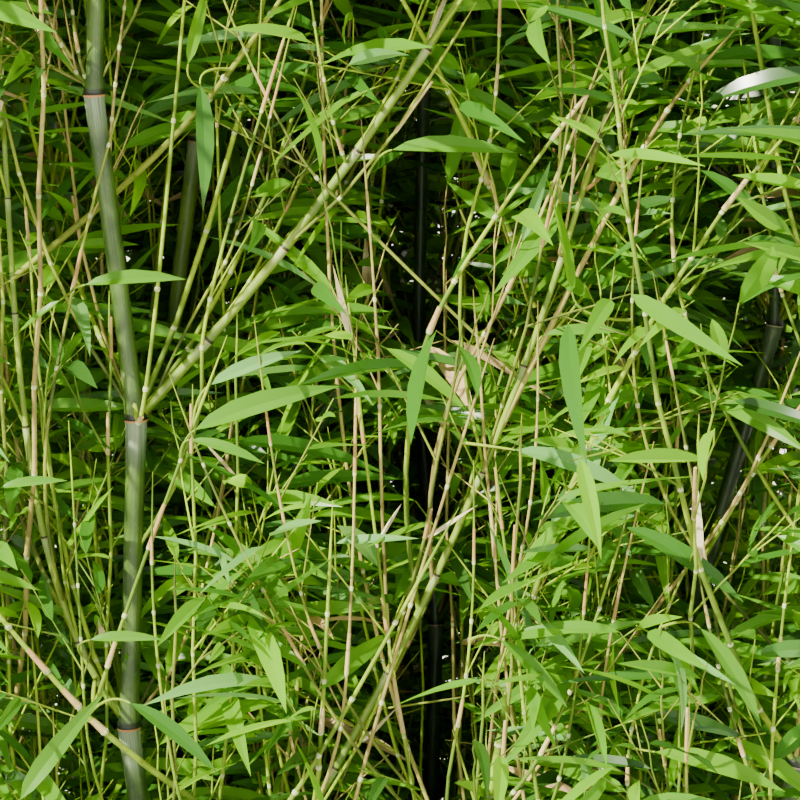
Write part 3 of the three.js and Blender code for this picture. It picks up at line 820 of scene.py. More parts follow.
def tube(centres, alongs, level, radii):
    """A closed tube through centres. Its rings stand square to the alongs, with a radius for each side."""
    rings, sides = radii.shape
    across = unit(np.cross(np.asarray(level, float), alongs))
    square = np.cross(alongs, across)
    angle = 2 * math.pi * np.arange(sides) / sides
    circle = np.cos(angle)[None, :, None] * across[:, None, :]
    circle = circle + np.sin(angle)[None, :, None] * square[:, None, :]
    skin = centres[:, None, :] + radii[:, :, None] * circle
    vertices = np.concatenate([skin.reshape(-1, 3), centres[:1], centres[-1:]])
    faces = []
    for i in range(rings - 1):
        for j in range(sides):
            k = (j + 1) % sides
            faces.append((i * sides + j, i * sides + k, (i + 1) * sides + k, (i + 1) * sides + j))
    foot, tip = rings * sides, rings * sides + 1
    top = (rings - 1) * sides
    for j in range(sides):
        k = (j + 1) % sides
        faces.append((foot, k, j))
        faces.append((tip, top + j, top + k))
    return vertices, faces


def lathe(profile, sides):
    """A closed body of revolution from (radius, height) pairs. It starts and ends on the axis."""
    angle = 2 * math.pi * np.arange(sides) / sides
    inner = profile[1:-1]
    vertices = [(0, 0, profile[0][1])]
    for radius, height in inner:
        vertices += [(radius * math.cos(a), radius * math.sin(a), height) for a in angle]
    vertices.append((0, 0, profile[-1][1]))
    faces = []
    for i in range(len(inner) - 1):
        for j in range(sides):
            k = (j + 1) % sides
            low, high = 1 + i * sides, 1 + (i + 1) * sides
            faces.append((low + j, low + k, high + k, high + j))
    last = 1 + (len(inner) - 1) * sides
    for j in range(sides):
        k = (j + 1) % sides
        faces.append((0, 1 + k, 1 + j))
        faces.append((len(vertices) - 1, last + j, last + k))
    return vertices, faces


def evaluated_mesh(carrier):
    """The plain mesh that an object's modifiers make."""
    bpy.context.view_layer.update()
    evaluated = carrier.evaluated_get(bpy.context.evaluated_depsgraph_get())
    return bpy.data.meshes.new_from_object(evaluated)


def built_by_nodes(name, source, tree, values):
    """The plain mesh that a Geometry Nodes tree makes from a source mesh and its named inputs."""
    carrier = bpy.data.objects.new(name + "_source", source)
    bpy.context.scene.collection.objects.link(carrier)
    modifier = carrier.modifiers.new(name, "NODES")
    modifier.node_group = tree
    for item in tree.interface.items_tree:
        if item.item_type == "SOCKET" and item.in_out == "INPUT" and item.name in values:
            modifier[item.identifier] = values[item.name]
    mesh = evaluated_mesh(carrier)
    mesh.name = name
    bpy.data.objects.remove(carrier)
    piece = bpy.data.objects.new(name, mesh)
    bpy.context.scene.collection.objects.link(piece)
    return piece


def settle(piece, slot, *nodes):
    """The piece rides on the one body and stands for the named solids. Its slot is not used."""
    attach(piece, "root")
    if nodes:
        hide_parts(*nodes)


# The plant's skeleton, by the rule of the part's source

def level_square(bearing):
    """Level, and square to the plane of a bearing."""
    return Vector((-math.sin(math.radians(bearing)), math.cos(math.radians(bearing)), 0))


class Culm:
    """One cane: where its nodes are, and its middle line and radius at a height over the soil."""

    def __init__(self, number, row):
        foot_x, foot_y, lean_x, lean_y, arch_x, arch_y, internode, first, radius, plane, zigzag, last = row
        self.name = f"culm_{number:02d}"
        self.foot = Vector((foot_x, foot_y)) * MM
        self.lean = Vector((lean_x, lean_y)) * MM
        self.arch = Vector((arch_x, arch_y)) * MM
        self.internode = internode * MM
        self.radius = radius * MM
        self.plane = plane
        self.zigzag = zigzag * MM
        self.heights = [first * MM]
        for i in range(last):
            rising = min(1, SHORTEST + GROWTH * max(0, i - 1))
            falling = 1 - SHRINK * max(0, i - LAST_FULL)
            self.heights.append(self.heights[-1] + self.internode * rising * falling)
        self.tip = self.heights[-1] + CULM_END

    def side(self, node):
        """How far the cane stands off its mean line at a node."""
        if node < 0:
            return 0
        return -self.zigzag if node % 2 else self.zigzag

    def kinked(self, height):
        """The middle line, straight between its nodes."""
        above = next((i for i, at in enumerate(self.heights) if at >= height), len(self.heights))
        low = self.heights[above - 1] if above else 0
        high = self.heights[above] if above < len(self.heights) else low + self.internode
        share = (height - low) / (high - low)
        offset = self.side(above - 1) + (self.side(above) - self.side(above - 1)) * share
        s = height / STAND
        level = self.foot + self.lean * s + self.arch * s**3
        turn = math.radians(self.plane)
        x = level.x + offset * math.cos(turn)
        y = level.y + offset * math.sin(turn)
        return Vector((x, y, SOIL_TOP + GAP + height))

    def point(self, height):
        """The middle line with its bends eased over a few millimetres."""
        below, above = self.kinked(height - BEND_EASE), self.kinked(height + BEND_EASE)
        return (below + 2 * self.kinked(height) + above) / 4

    def along(self, height):
        """The way that the cane runs at a height."""
        return (self.kinked(height + WAY_EASE) - self.kinked(height - WAY_EASE)).normalized()

    def line(self, count):
        """Points along the middle line from its foot to its tip."""
        return [self.kinked(height) for height in np.linspace(0, self.tip, count)]

    def girth(self, height):
        """The radius at a height, with the flare at the foot."""
        flare = 1 + FLARE_SHARE * math.exp(-max(height, 0) / FLARE_HEIGHT)
        return self.radius * math.sqrt(1 - height / FULL) * flare


def sweep(start, bearing, slopes, settle_rate, length, steps):
    """A path that leaves a point on a bearing and bends from one slope off the upright to another."""
    points = [start.copy()]
    turn = math.radians(bearing)
    for i in range(steps):
        share = (i + 0.5) / steps
        slope = math.radians(slopes[1] + (slopes[0] - slopes[1]) * (1 - share) ** settle_rate)
        step = Vector((math.sin(slope) * math.cos(turn), math.sin(slope) * math.sin(turn), math.cos(slope)))
        points.append(points[-1] + step * (length / steps))
    return points


def path_length(points):
    """The length of a path."""
    return sum((b - a).length for a, b in zip(points, points[1:]))


def arc(start, pull, end, shares):
    """Points on the curve from one place to another that a third place pulls aside."""
    return [start * (1 - t) ** 2 + pull * 2 * t * (1 - t) + end * t * t for t in shares]


def on_path(points, share):
    """The point and the way at a share of a path of equal steps."""
    last = len(points) - 1
    step = min(last - 1, int(share * last))
    low, high = points[step], points[step + 1]
    return low.lerp(high, share * last - step), (high - low).normalized()


@functools.lru_cache(maxsize=None)
def skeleton():
    """The culms, the boughs and the stems of the masses."""
    culms = [Culm(i + 1, row) for i, row in enumerate(CULMS)]
    boughs = []
    for number, node, bearing, low, high, rate, length, radius in BRANCHES:
        culm = culms[number - 1]
        start = culm.kinked(culm.heights[node])
        boughs.append({
            "name": f"branch_{number:02d}_{node}",
            "bearing": bearing,
            "points": sweep(start, bearing, (low, high), rate, length * MM, BOUGH_STEPS),
            "radius": radius * MM,
            "root_radius": culm.girth(culm.heights[node]),
        })
    stems = []
    for culm in culms:
        stems.append(stem_beyond(culm.kinked(culm.tip), culm.along(culm.tip - TIP_BACK), CROWN))
    for bough in boughs:
        way = (bough["points"][-1] - bough["points"][-2]).normalized()
        stems.append(stem_beyond(bough["points"][-1], way, SPRAY))
    for number, node, bearing in SHOOTS:
        culm = culms[number - 1]
        start = culm.kinked(culm.heights[node])
        points = sweep(start, bearing, SHOOT["slopes"], SHOOT["settle"], SHOOT["length"], STEM_STEPS)
        stems.append(new_stem(points, bearing, SHOOT, SHOOT["girth"], BARE_FOOT))
    return culms, boughs, stems


def new_stem(points, bearing, form, girth, bare):
    """A stem that twigs will grow on."""
    return {"points": points, "bearing": bearing, "form": form, "girth": girth, "bare": bare}


def stem_beyond(tip, way, form):
    """The stem of a mass that goes on from a limb's tip."""
    slope = math.degrees(way.angle(UP))
    bearing = math.degrees(math.atan2(way.y, way.x))
    points = sweep(tip, bearing, (slope, slope + form["bend"]), form["settle"], form["length"], STEM_STEPS)
    return new_stem(points, bearing, form, form["girth"], BARE_FOOT)


def node_stems(culms, rng, form):
    """The bunches of finer shoots at some nodes, to one side of the cane and the other in turn."""
    stems = []
    for culm in culms:
        for node in form["nodes"]:
            if node >= len(culm.heights):
                continue
            start = culm.kinked(culm.heights[node])
            side = culm.plane + (180 if node % 2 else 0)
            for length, girth, turn in zip(form["lengths"], form["girths"], form["turns"]):
                bearing = side + turn + rng.uniform(-STRAY, STRAY)
                reach = length * rng.uniform(*REACH_RANGE)
                low = form["slopes"][0] * rng.uniform(*SLOPE_RANGE)
                high = form["slopes"][1] * rng.uniform(*TIP_RANGE)
                points = sweep(start, bearing, (low, high), form["settle"], reach, STEM_STEPS)
                bare = form["bare"] if culm.foot.y < REAR else form["bare"] * REAR_SHARE
                if not hides_front(np.array(points[2:]), TWIG_CLEARANCE).any():
                    stems.append(new_stem(points, bearing, form, girth, bare))
    return stems


# Twigs and leaves that grow on the skeleton

# A leaf, a dry sheath or a chip of bark: where it starts, its way, face and length, its form and its tint.
Leaf = collections.namedtuple("Leaf", "root way face length form tint")


class Growth:
    """Lists of what grows: stems, twigs, pale rings at the nodes, leaves and papery sheaths."""

    def __init__(self):
        self.stems = {"green": [], "olive": [], "tan": [], "paper": []}
        self.twigs = {"green": [], "olive": [], "tan": []}
        self.rings = []
        self.leaves = []
        self.sheaths = []


def pick_tint(rng):
    """The tint of a whole spray."""
    return rng.choices(list(TINTS), list(TINTS.values()))[0]


def beside(way):
    """Level, and square to a way."""
    level = way.cross(UP)
    return level.normalized() if level.length > UPRIGHT else Vector((1, 0, 0))


def rolled(vector, degrees, axis):
    """A vector turned about an axis."""
    turned = vector.copy()
    turned.rotate(Matrix.Rotation(math.radians(degrees), 3, axis))
    return turned


def leaning(way, out, slope):
    """A way that leans to one side by a slope."""
    return (way * math.cos(slope) + out * math.sin(slope)).normalized()


def add_rings(growth, root, way, girth, rings):
    """Pale rings round a stem near a node, from their starts, ends and shares of its girth."""
    growth.rings += [(root + way * start, root + way * end, girth * share) for start, end, share in rings]


def wrap(growth, root, end, girth, loose):
    """A dry sheath round a stem, from a node to a place above it."""
    growth.stems["paper"].append(([root, end], [girth * loose, girth * WRAP["snug"]]))


def put_leaf(growth, rng, root, twig_way, side, splay, tint, size):
    """One leaf: it splays to a side of its twig, droops and rolls."""
    way = twig_way + beside(twig_way) * side * splay * rng.uniform(*SPLAY_RANGE)
    way = (way - UP * LEAF_DROOP * rng.uniform(*DROOP_RANGE)).normalized()
    face = rolled(way.cross(UP).cross(way).normalized(), rng.uniform(-ROLL, ROLL), way)
    length = size * rng.uniform(*SIZE_RANGE)
    growth.leaves.append(Leaf(root, way, face, length, rng.randrange(len(SWEEPS)), tint))


def grow_twig(growth, rng, root, way, length, girth, kind, tint, order, size):
    """A twig with a slight zigzag. Its leaves alternate, and finer twigs leave its lower half."""
    span = np.array([root + way * (length * share) for share in TWIG_SHARES])
    if hides_front(span, TWIG_CLEARANCE).any():
        return
    level = beside(way)
    places = TWIG_LEAVES if order == 1 else TWIGLET_LEAVES
    points, girths = [root], [girth]
    hand = rng.choice((-1, 1))
    for i, place in enumerate(places):
        side = hand if i % 2 else -hand
        kink = level * side * length * TWIG_ZIGZAG
        point = root + way * (length * place) + kink
        points.append(point)
        girths.append(girth * (1 - TWIG_TAPER * place))
        splay = END_SPLAY if place == places[-1] else SPLAY
        put_leaf(growth, rng, point, way, side, splay, tint, size * (OUTER_LEAF if i > 1 else INNER_LEAF))
    if order == 2:
        growth.twigs[kind].append(([root, points[-1]], [girth, girths[-1]]))
        return
    growth.twigs[kind].append((points, girths))
    for i, place in enumerate(TWIGLET["places"]):
        side = -hand if i % 2 else hand
        slope = math.radians(TWIGLET["slope"] * rng.uniform(*SLOPE_RANGE))
        out = rolled(level, rng.uniform(-TWIGLET["turn"], TWIGLET["turn"]), way) * side
        reach = rng.uniform(*TWIGLET["length"])
        start = root + way * (length * place)
        turn = leaning(way, out, slope)
        grow_twig(growth, rng, start, turn, reach, TWIGLET["girth"], kind, pick_tint(rng), 2, size)


def grow_stem(growth, rng, stem, size):
    """A stem with a node at each twig. The twigs stand round it by the golden angle."""
    points = stem["points"]
    count = max(FEWEST_NODES, round(path_length(points) / stem["form"]["spacing"]))
    kind = rng.choices(list(STEM_KINDS), list(STEM_KINDS.values()))[0]
    square = level_square(stem["bearing"])
    turn = rng.uniform(0, 360)
    line, girths = [points[0]], [stem["girth"]]
    for k in range(count):
        share = (k + 1) / (count + STEM_SPARE)
        root, way = on_path(points, share)
        girth = STEM_TIP + (stem["girth"] - STEM_TIP) * (1 - share) ** STEM_TAPER
        root = root + square * (STEM_ZIGZAG if k % 2 else -STEM_ZIGZAG)
        if girth > PLAIN_STEM:
            line += [root - way * KNUCKLE, root, root + way * KNUCKLE]
            girths += [girth, girth * SWELLING, girth]
            add_rings(growth, root, way, girth, [RING])
        else:
            line.append(root)
            girths.append(girth * PLAIN_SWELLING)
        slope = TWIG["slope"] * (1 - TWIG["closing"] * share**4) + TWIG["range"] * (rng.random() - 0.5)
        out = rolled(square, turn, way)
        turn += GOLDEN_ANGLE
        if share < stem["bare"]:
            continue
        twig_way = leaning(way, out, math.radians(slope))
        reach = rng.uniform(*TWIG["length"])
        grow_twig(growth, rng, root, twig_way, reach, TWIG["girth"], kind, pick_tint(rng), 1, size)
        if rng.random() < WRAP["chance"]:
            wrap(growth, root, root + way * rng.uniform(*WRAP["length"]), girth, WRAP["loose"])
        if rng.random() < DRY_BLADE["chance"]:
            growth.sheaths.append(Leaf(root, twig_way, out, rng.uniform(*DRY_BLADE["length"]), 0, "sheath"))
    tip, way = on_path(points, 1.0)
    line += [tip + way * step for step in SPEAR_STEPS]
    girths += [STEM_TIP, SPEAR_TIP]
    growth.stems[kind].append((line, girths))


def bough_nodes(bough):
    """The shares along a bough at which it has its nodes."""
    count = max(FEWEST_NODES, round(path_length(bough["points"]) / BOUGH_SPACING))
    return [(k + BOUGH_FIRST) / (count + BOUGH_SPARE) for k in range(count)]


def side_twigs(growth, rng, bough, size):
    """The fine stems that leave a bough's nodes, by turns to one side and the other."""
    for k, share in enumerate(bough_nodes(bough)):
        root, way = on_path(bough["points"], share)
        turn = rng.uniform(-SIDE["turn"], SIDE["turn"]) + (180 if k % 2 else 0)
        out = rolled(level_square(bough["bearing"]), turn, way)
        first = leaning(way, out, math.radians(rng.uniform(*SIDE["slope"])))
        bearing = math.degrees(math.atan2(first.y, first.x))
        steep = math.degrees(first.angle(UP))
        slopes = (steep, steep * SIDE["closing"])
        points = sweep(root, bearing, slopes, SIDE["settle"], rng.uniform(*SIDE["length"]), STEM_STEPS)
        grow_stem(growth, rng, new_stem(points, bearing, FINE, SIDE["girth"], FINE["bare"]), size)


# What the photograph shows at the front

def picture_place(points):
    """Where points fall in the photograph, in pixels, and how far off they are."""
    eye = np.array(AIM) - FORWARD * DISTANCE
    off = np.asarray(points, float) - eye
    depth = off @ FORWARD
    scale = PICTURE / (2 * HALF_VIEW * depth)
    return PICTURE / 2 + off[..., 0] * scale, PICTURE / 2 - (off @ UPWARD) * scale, depth


def in_picture(u, v, depth):
    """The point that the photograph shows at a pixel, at a distance from the camera."""
    size = 2 * HALF_VIEW * depth / PICTURE
    level = Vector((1, 0, 0)) * (u - PICTURE / 2) * size
    return AIM + Vector(FORWARD) * (depth - DISTANCE) + level + Vector(UPWARD) * (PICTURE / 2 - v) * size


def nearest(points, start, end):
    """How far each point is from the nearest of some stretches, which one that is, and where along it."""
    span = end - start
    away = points[:, None, :] - start[None]
    share = np.clip((away * span[None]).sum(-1) / (span * span).sum(-1)[None], 0, 1)
    gap = np.linalg.norm(away - share[..., None] * span[None], axis=-1)
    which = gap.argmin(1)
    rows = np.arange(len(points))
    return gap[rows, which], which, share[rows, which]


@functools.lru_cache(maxsize=None)
def front_lines():
    """What shows, as lines in the photograph: pixels, depths, half width and share of the room kept."""
    culms, boughs, _ = skeleton()
    front = []
    for number, top, bottom in SHOWN_CANES:
        culm = culms[number - 1]
        points = np.array(culm.line(SHOWN_POINTS))
        v = picture_place(points)[1]
        front.append((points[(v > top) & (v < bottom)], culm.radius))
    for bough in boughs[:SHOWN_BOUGHS]:
        front.append((np.array(bough["points"][::BOUGH_STRIDE]), bough["radius"]))
    lines = []
    for points, radius in front:
        u, v, depth = picture_place(points)
        pixels = PICTURE / (2 * HALF_VIEW * depth.mean())
        lines.append((np.stack([u, v, np.zeros_like(u)], -1), depth, radius * pixels, LIMB_BERTH))
    for root_u, root_v, tip_u, tip_v, _ in FRONT_LEAVES:
        line = np.array([(root_u, root_v, 0), (tip_u, tip_v, 0)], float)
        lines.append((line, np.full(2, FRONT_DEPTH), 0.0, LEAF_BERTH))
    for _, radius, *places in FRONT_STEMS:
        line = np.array([(*place, 0) for place in places], float)
        lines.append((line, np.full(3, FRONT_DEPTH + STEMS_BEHIND), radius, STEM_BERTH))
    return lines


def hides_front(points, margin):
    """Which points stand before a limb, leaf or stem that shows in the photograph."""
    u, v, own_depth = picture_place(points)
    hidden = np.zeros(len(u), bool)
    seen = (own_depth < DISTANCE + DEEP) & (abs(u - PICTURE / 2) < PICTURE / 2 + OUTSIDE)
    seen &= abs(v - PICTURE / 2) < PICTURE / 2 + OUTSIDE
    if not seen.any():
        return hidden
    spots = np.stack([u, v, np.zeros_like(u)], -1)
    for line, depth, width, berth in front_lines():
        gap, which, along = nearest(spots, line[:-1], line[1:])
        limb_depth = depth[which] + (depth[which + 1] - depth[which]) * along
        hidden |= (gap < width + margin * berth) & (own_depth < limb_depth)
    return hidden


def keep_clear(leaves, culms, boughs):
    """Drops leaves that leave the plant's box, run into a cane or bough, or hide what shows in front."""
    root = np.array([leaf.root for leaf in leaves])
    way = np.array([leaf.way for leaf in leaves])
    length = np.array([leaf.length for leaf in leaves])[:, None]
    low, high = (np.array(corner) for corner in CAD_BOX)
    tip = root + way * length
    tip[:, 2] -= TIP_DROP * length[:, 0]
    kept = ((tip > low) & (tip < high)).all(1)
    paths = [(culm.line(CLEAR_POINTS), culm.radius) for culm in culms]
    paths += [(bough["points"], bough["radius"]) for bough in boughs]
    starts = np.concatenate([np.array(points[:-1]) for points, _ in paths])
    ends = np.concatenate([np.array(points[1:]) for points, _ in paths])
    radii = np.concatenate([np.full(len(points) - 1, radius) for points, radius in paths])
    for share in TOUCH_SHARES:
        gap, which, _ = nearest(root + way * length * share, starts, ends)
        kept &= gap > radii[which] + LIMB_GAP
    for share in HIDING_SHARES:
        kept &= ~hides_front(root + way * length * share, CLEARANCE)
    return [leaf for leaf, keep in zip(leaves, kept) if keep]


def root_of(spots, foot_at, foot, way):
    """Where a front stem leaves a limb: at its foot if one shows there, or lower on its own line."""
    u, v, depth = picture_place(spots)
    at_foot = np.hypot(u - foot_at[0], v - foot_at[1]) < AT_FOOT
    at_foot &= depth < DISTANCE + SHALLOW
    if at_foot.any():
        gap = np.where(at_foot, np.linalg.norm(spots - np.array(foot), axis=1), np.inf)
    else:
        gap = np.linalg.norm(spots - np.array(foot - way * ROOT_BELOW), axis=1)
    return Vector(spots[gap.argmin()])


def front_stems(growth, rng, culms, boughs, size):
    """The stems that stand out in the photograph, each from the nearest cane or bough under its foot."""
    paths = [bough["points"] for bough in boughs]
    paths += [culm.line(ROOT_POINTS) for culm in culms]
    spots = np.array([tuple(point) for path in paths for point in path])
    made = []
    for kind, radius, foot_at, middle_at, tip_at in FRONT_STEMS:
        foot = in_picture(*foot_at, FRONT_DEPTH + FOOT_BEHIND)
        middle = in_picture(*middle_at, FRONT_DEPTH + MIDDLE_BEHIND)
        tip = in_picture(*tip_at, FRONT_DEPTH)
        pull = 2 * middle - (foot + tip) / 2
        way = (pull - foot).normalized()
        start = root_of(spots, foot_at, foot, way)
        bend = foot - way * (foot - start).length * EASE_OUT
        points = arc(start, bend, foot, np.linspace(0, 1, HIDDEN_STEPS + 1)[:-1])
        points += arc(foot, pull, tip, np.linspace(0, 1, SHOWN_STEPS + 1))
        girths = list(np.linspace(radius * MM, radius * MM * FRONT_TAPER, len(points)))
        spear = points[-1] + (points[-1] - points[-2]).normalized() * SPEAR
        growth.stems[kind].append((points + [spear], girths + [SPEAR_TIP]))
        for k in range(HIDDEN_STEPS + 1, len(points) - 2, NODE_EVERY):
            root, girth = points[k], girths[k]
            add_rings(growth, root, (points[k + 1] - root).normalized(), girth, FRONT_RINGS)
            if rng.random() < FRONT_WRAP["chance"]:
                end = root + (points[k + 1] - root) * FRONT_WRAP["length"]
                wrap(growth, root, end, girth, FRONT_WRAP["loose"])
        for k in range(HIDDEN_STEPS + 2, len(points), TWIG_EVERY):
            way = (points[k] - points[k - 1]).normalized()
            odd = k // TWIG_EVERY % 2
            slope = rng.uniform(*FRONT_TWIG["slope"]) * (1 if odd else -1)
            turn = rolled(way, slope, FRONT_TWIG["axis"])
            sizes = (FRONT_TWIG["length"], TWIGLET["girth"])
            grow_twig(growth, rng, points[k], turn, *sizes, kind, pick_tint(rng), 1 + odd, size)
        made.append(points)
    return made


def front_leaves(growth, boughs, stems, front):
    """The leaves that stand out in the photograph, each on a fine twig from the nearest stem under it."""
    paths = [stem["points"] for stem in stems] + [bough["points"] for bough in boughs] + front
    spots = np.array([tuple(point) for path in paths for point in path])
    for root_u, root_v, tip_u, tip_v, tint in FRONT_LEAVES:
        root = in_picture(root_u, root_v, FRONT_DEPTH)
        tip = in_picture(tip_u, tip_v, FRONT_DEPTH - LEAF_FORWARD)
        way = (tip - root).normalized()
        off = spots - np.array(root)
        cost = np.linalg.norm(off, axis=1)
        cost = cost + AHEAD["cost"] * np.clip(off @ np.array(way) + AHEAD["slack"], 0, None)
        cost = cost + ABOVE["cost"] * np.clip(off[:, 2] + ABOVE["slack"], 0, None)
        start = Vector(spots[cost.argmin()])
        bend = root - way * (root - start).length * TWIG_EASE
        points = arc(start, bend, root, np.linspace(0, 1, TWIG_STEPS))
        growth.twigs["green"].append((points, list(np.linspace(*TWIG_GIRTHS, TWIG_STEPS))))
        face = way.cross(LEAF_FACE).cross(way).normalized()
        growth.leaves.append(Leaf(root, way, face, (tip - root).length, LEAF_FORM, tint))


# All that grows

@functools.lru_cache(maxsize=None)
def grown(seed, leaf_length):
    """Everything that grows on the skeleton, from one seed."""
    culms, boughs, stems = skeleton()
    rng = random.Random(seed)
    growth = Growth()
    for stem in stems:
        grow_stem(growth, rng, stem, leaf_length)
    for bough in boughs:
        side_twigs(growth, rng, bough, leaf_length)
    fine = node_stems(culms, rng, FINE) + node_stems(culms, rng, LONG)
    for stem in fine:
        grow_stem(growth, rng, stem, leaf_length)
    front = front_stems(growth, rng, culms, boughs, leaf_length)
    growth.leaves = keep_clear(growth.leaves, culms, boughs)
    front_leaves(growth, boughs, stems + fine, front)
    return growth


# Trees that turn the lists into meshes

@functools.lru_cache(maxsize=None)
def blade_tree():
    """A blade from a grid: narrow at its root, broadest at a third, folded, bent and turned."""
    settings = {"Slimness": "Float", "Fold": "Float", "Bend": "Float", "Sweep": "Float", "Twist": "Float"}
    tree, given, result = new_tree(
        "blade", "GeometryNodeTree", {**settings, "Stations": "Int"}, {"Blade": "Geometry"}
    )
    sizes = {"Size X": 1.0, "Size Y": 1.0, "Vertices X": given.outputs["Stations"], "Vertices Y": 3}
    grid = put(tree, "GeometryNodeMeshGrid", sizes)
    parts = put(tree, "ShaderNodeSeparateXYZ", {0: put(tree, "GeometryNodeInputPosition").outputs[0]})
    start = maths(tree, "MAXIMUM", plus(tree, parts.outputs[0], 0.5), 0.0)
    along = maths(tree, "POWER", start, CROWDING)
    side = times(tree, parts.outputs[1], 2.0)
    outline = put(tree, "ShaderNodeFloatCurve", {"Value": along})
    curve = outline.mapping.curves[0]
    curve.points[0].location = OUTLINE[0]
    curve.points[1].location = OUTLINE[-1]
    for corner in OUTLINE[1:-1]:
        curve.points.new(*corner)
    outline.mapping.update()
    half = maths(tree, "DIVIDE", times(tree, outline.outputs[0], 0.5), given.outputs["Slimness"])
    across = times(tree, side, half)
    squared = maths(tree, "POWER", along, 2.0)
    y = plus(tree, across, times(tree, squared, given.outputs["Sweep"]))
    lift = times(tree, maths(tree, "ABSOLUTE", across), given.outputs["Fold"])
    drop = times(tree, squared, given.outputs["Bend"])
    turn = times(tree, times(tree, across, along), given.outputs["Twist"])
    z = plus(tree, maths(tree, "SUBTRACT", lift, drop), turn)
    target = put(tree, "ShaderNodeCombineXYZ", {0: along, 1: y, 2: z}).outputs[0]
    midrib = maths(tree, "LESS_THAN", maths(tree, "ABSOLUTE", parts.outputs[1]), MIDRIB_NEAR)
    inputs = {"Geometry": grid.outputs[0], "Name": "sharp_edge", "Value": midrib}
    ribbed = put(tree, "GeometryNodeStoreNamedAttribute", inputs, data_type="BOOLEAN", domain="EDGE")
    moved = put(tree, "GeometryNodeSetPosition", {"Geometry": ribbed.outputs[0], "Position": target})
    inputs = {"Geometry": moved.outputs[0], "Distance": MERGE_NEAR}
    joined = put(tree, "GeometryNodeMergeByDistance", inputs)
    smooth = put(tree, "GeometryNodeSetShadeSmooth", {"Geometry": joined.outputs[0]})
    feed(tree, result, {"Blade": smooth.outputs[0]})
    return tree


def placed(tree, points, shape, first, second, **picked):
    """A shape set on each point, with its X axis along the way and its Z along the face, as one mesh."""
    sources = {"X": by_name(tree, "way", "FLOAT_VECTOR"), "Z": by_name(tree, "face", "FLOAT_VECTOR")}
    axes = {"Primary Axis": sources[first], "Secondary Axis": sources[second]}
    settings = {"primary_axis": first, "secondary_axis": second}
    turned = put(tree, "FunctionNodeAxesToRotation", axes, **settings).outputs[0]
    inputs = {"Points": points, "Instance": shape, "Rotation": turned, "Scale": by_name(tree, "size")}
    copies = put(tree, "GeometryNodeInstanceOnPoints", {**inputs, **picked})
    return put(tree, "GeometryNodeRealizeInstances", {"Geometry": copies.outputs[0]}).outputs[0]


def finished(tree, given, result, geometry):
    """Ends a tree: the geometry gets the material and goes out."""
    inputs = {"Geometry": geometry, "Material": given.outputs["Material"]}
    dressed = put(tree, "GeometryNodeSetMaterial", inputs)
    feed(tree, result, {0: dressed.outputs[0]})
    return tree


@functools.lru_cache(maxsize=None)
def leaves_tree():
    """Blades of a few forms, set on points by their way, their face and their size, and joined."""
    settings = {"Slimness": "Float", "Fold": "Float", "Bend": "Float", "Stations": "Int"}
    tree, given, result = new_tree(
        "leaves",
        "GeometryNodeTree",
        {"Points": "Geometry", **settings, "Material": "Material"},
        {"Leaves": "Geometry"},
    )
    forms = put(tree, "GeometryNodeJoinGeometry")
    for k, (sweep_by, twist) in enumerate(zip(SWEEPS, TWISTS)):
        inputs = {"Sweep": sweep_by, "Twist": twist, "Stations": given.outputs["Stations"]}
        for label, (first, step) in FORMS.items():
            inputs[label] = times(tree, given.outputs[label], first + step * k)
        blade = put(tree, "GeometryNodeGroup", inputs, node_tree=blade_tree())
        one = put(tree, "GeometryNodeGeometryToInstance", {0: blade.outputs[0]})
        feed(tree, forms, {0: one.outputs[0]})
    picked = {"Pick Instance": True, "Instance Index": by_name(tree, "form", "INT")}
    whole = placed(tree, given.outputs["Points"], forms.outputs[0], "X", "Z", **picked)
    return finished(tree, given, result, whole)


@functools.lru_cache(maxsize=None)
def chips_tree():
    """Flat chips set on points: a low block whose corners are pushed about by a fixed seed."""
    inputs = {"Points": "Geometry", "Material": "Material"}
    tree, given, result = new_tree("chips", "GeometryNodeTree", inputs, {"Chips": "Geometry"})
    sizes = {"Size": CHIP_BLOCK, "Vertices X": 3, "Vertices Y": 2, "Vertices Z": 2}
    block = put(tree, "GeometryNodeMeshCube", sizes)
    whole = placed(tree, given.outputs["Points"], block.outputs[0], "Z", "X")
    reach = {"Min": (-CHIP_STRAY,) * 3, "Max": (CHIP_STRAY,) * 3, "Seed": STRAY_SEED}
    push = put(tree, "FunctionNodeRandomValue", reach, data_type="FLOAT_VECTOR")
    rough = put(tree, "GeometryNodeSetPosition", {"Geometry": whole, "Offset": push.outputs[0]})
    return finished(tree, given, result, rough.outputs[0])


@functools.lru_cache(maxsize=None)
def tubes_tree():
    """Tapering tubes along lines, whose radius is the lines' own girth."""
    inputs = {"Lines": "Geometry", "Sides": "Int", "Material": "Material"}
    tree, given, result = new_tree("tubes", "GeometryNodeTree", inputs, {"Tubes": "Geometry"})
    curves = put(tree, "GeometryNodeMeshToCurve", {"Mesh": given.outputs["Lines"]}).outputs[0]
    ring = {"Radius": 1.0, "Resolution": given.outputs["Sides"]}
    profile = put(tree, "GeometryNodeCurvePrimitiveCircle", ring).outputs[0]
    inputs = {"Curve": curves, "Profile Curve": profile, "Scale": by_name(tree, "girth"), "Fill Caps": True}
    skin = put(tree, "GeometryNodeCurveToMesh", inputs)
    smooth = put(tree, "GeometryNodeSetShadeSmooth", {"Geometry": skin.outputs[0]})
    real = put(tree, "GeometryNodeRealizeInstances", {"Geometry": smooth.outputs[0]})
    return finished(tree, given, result, real.outputs[0])


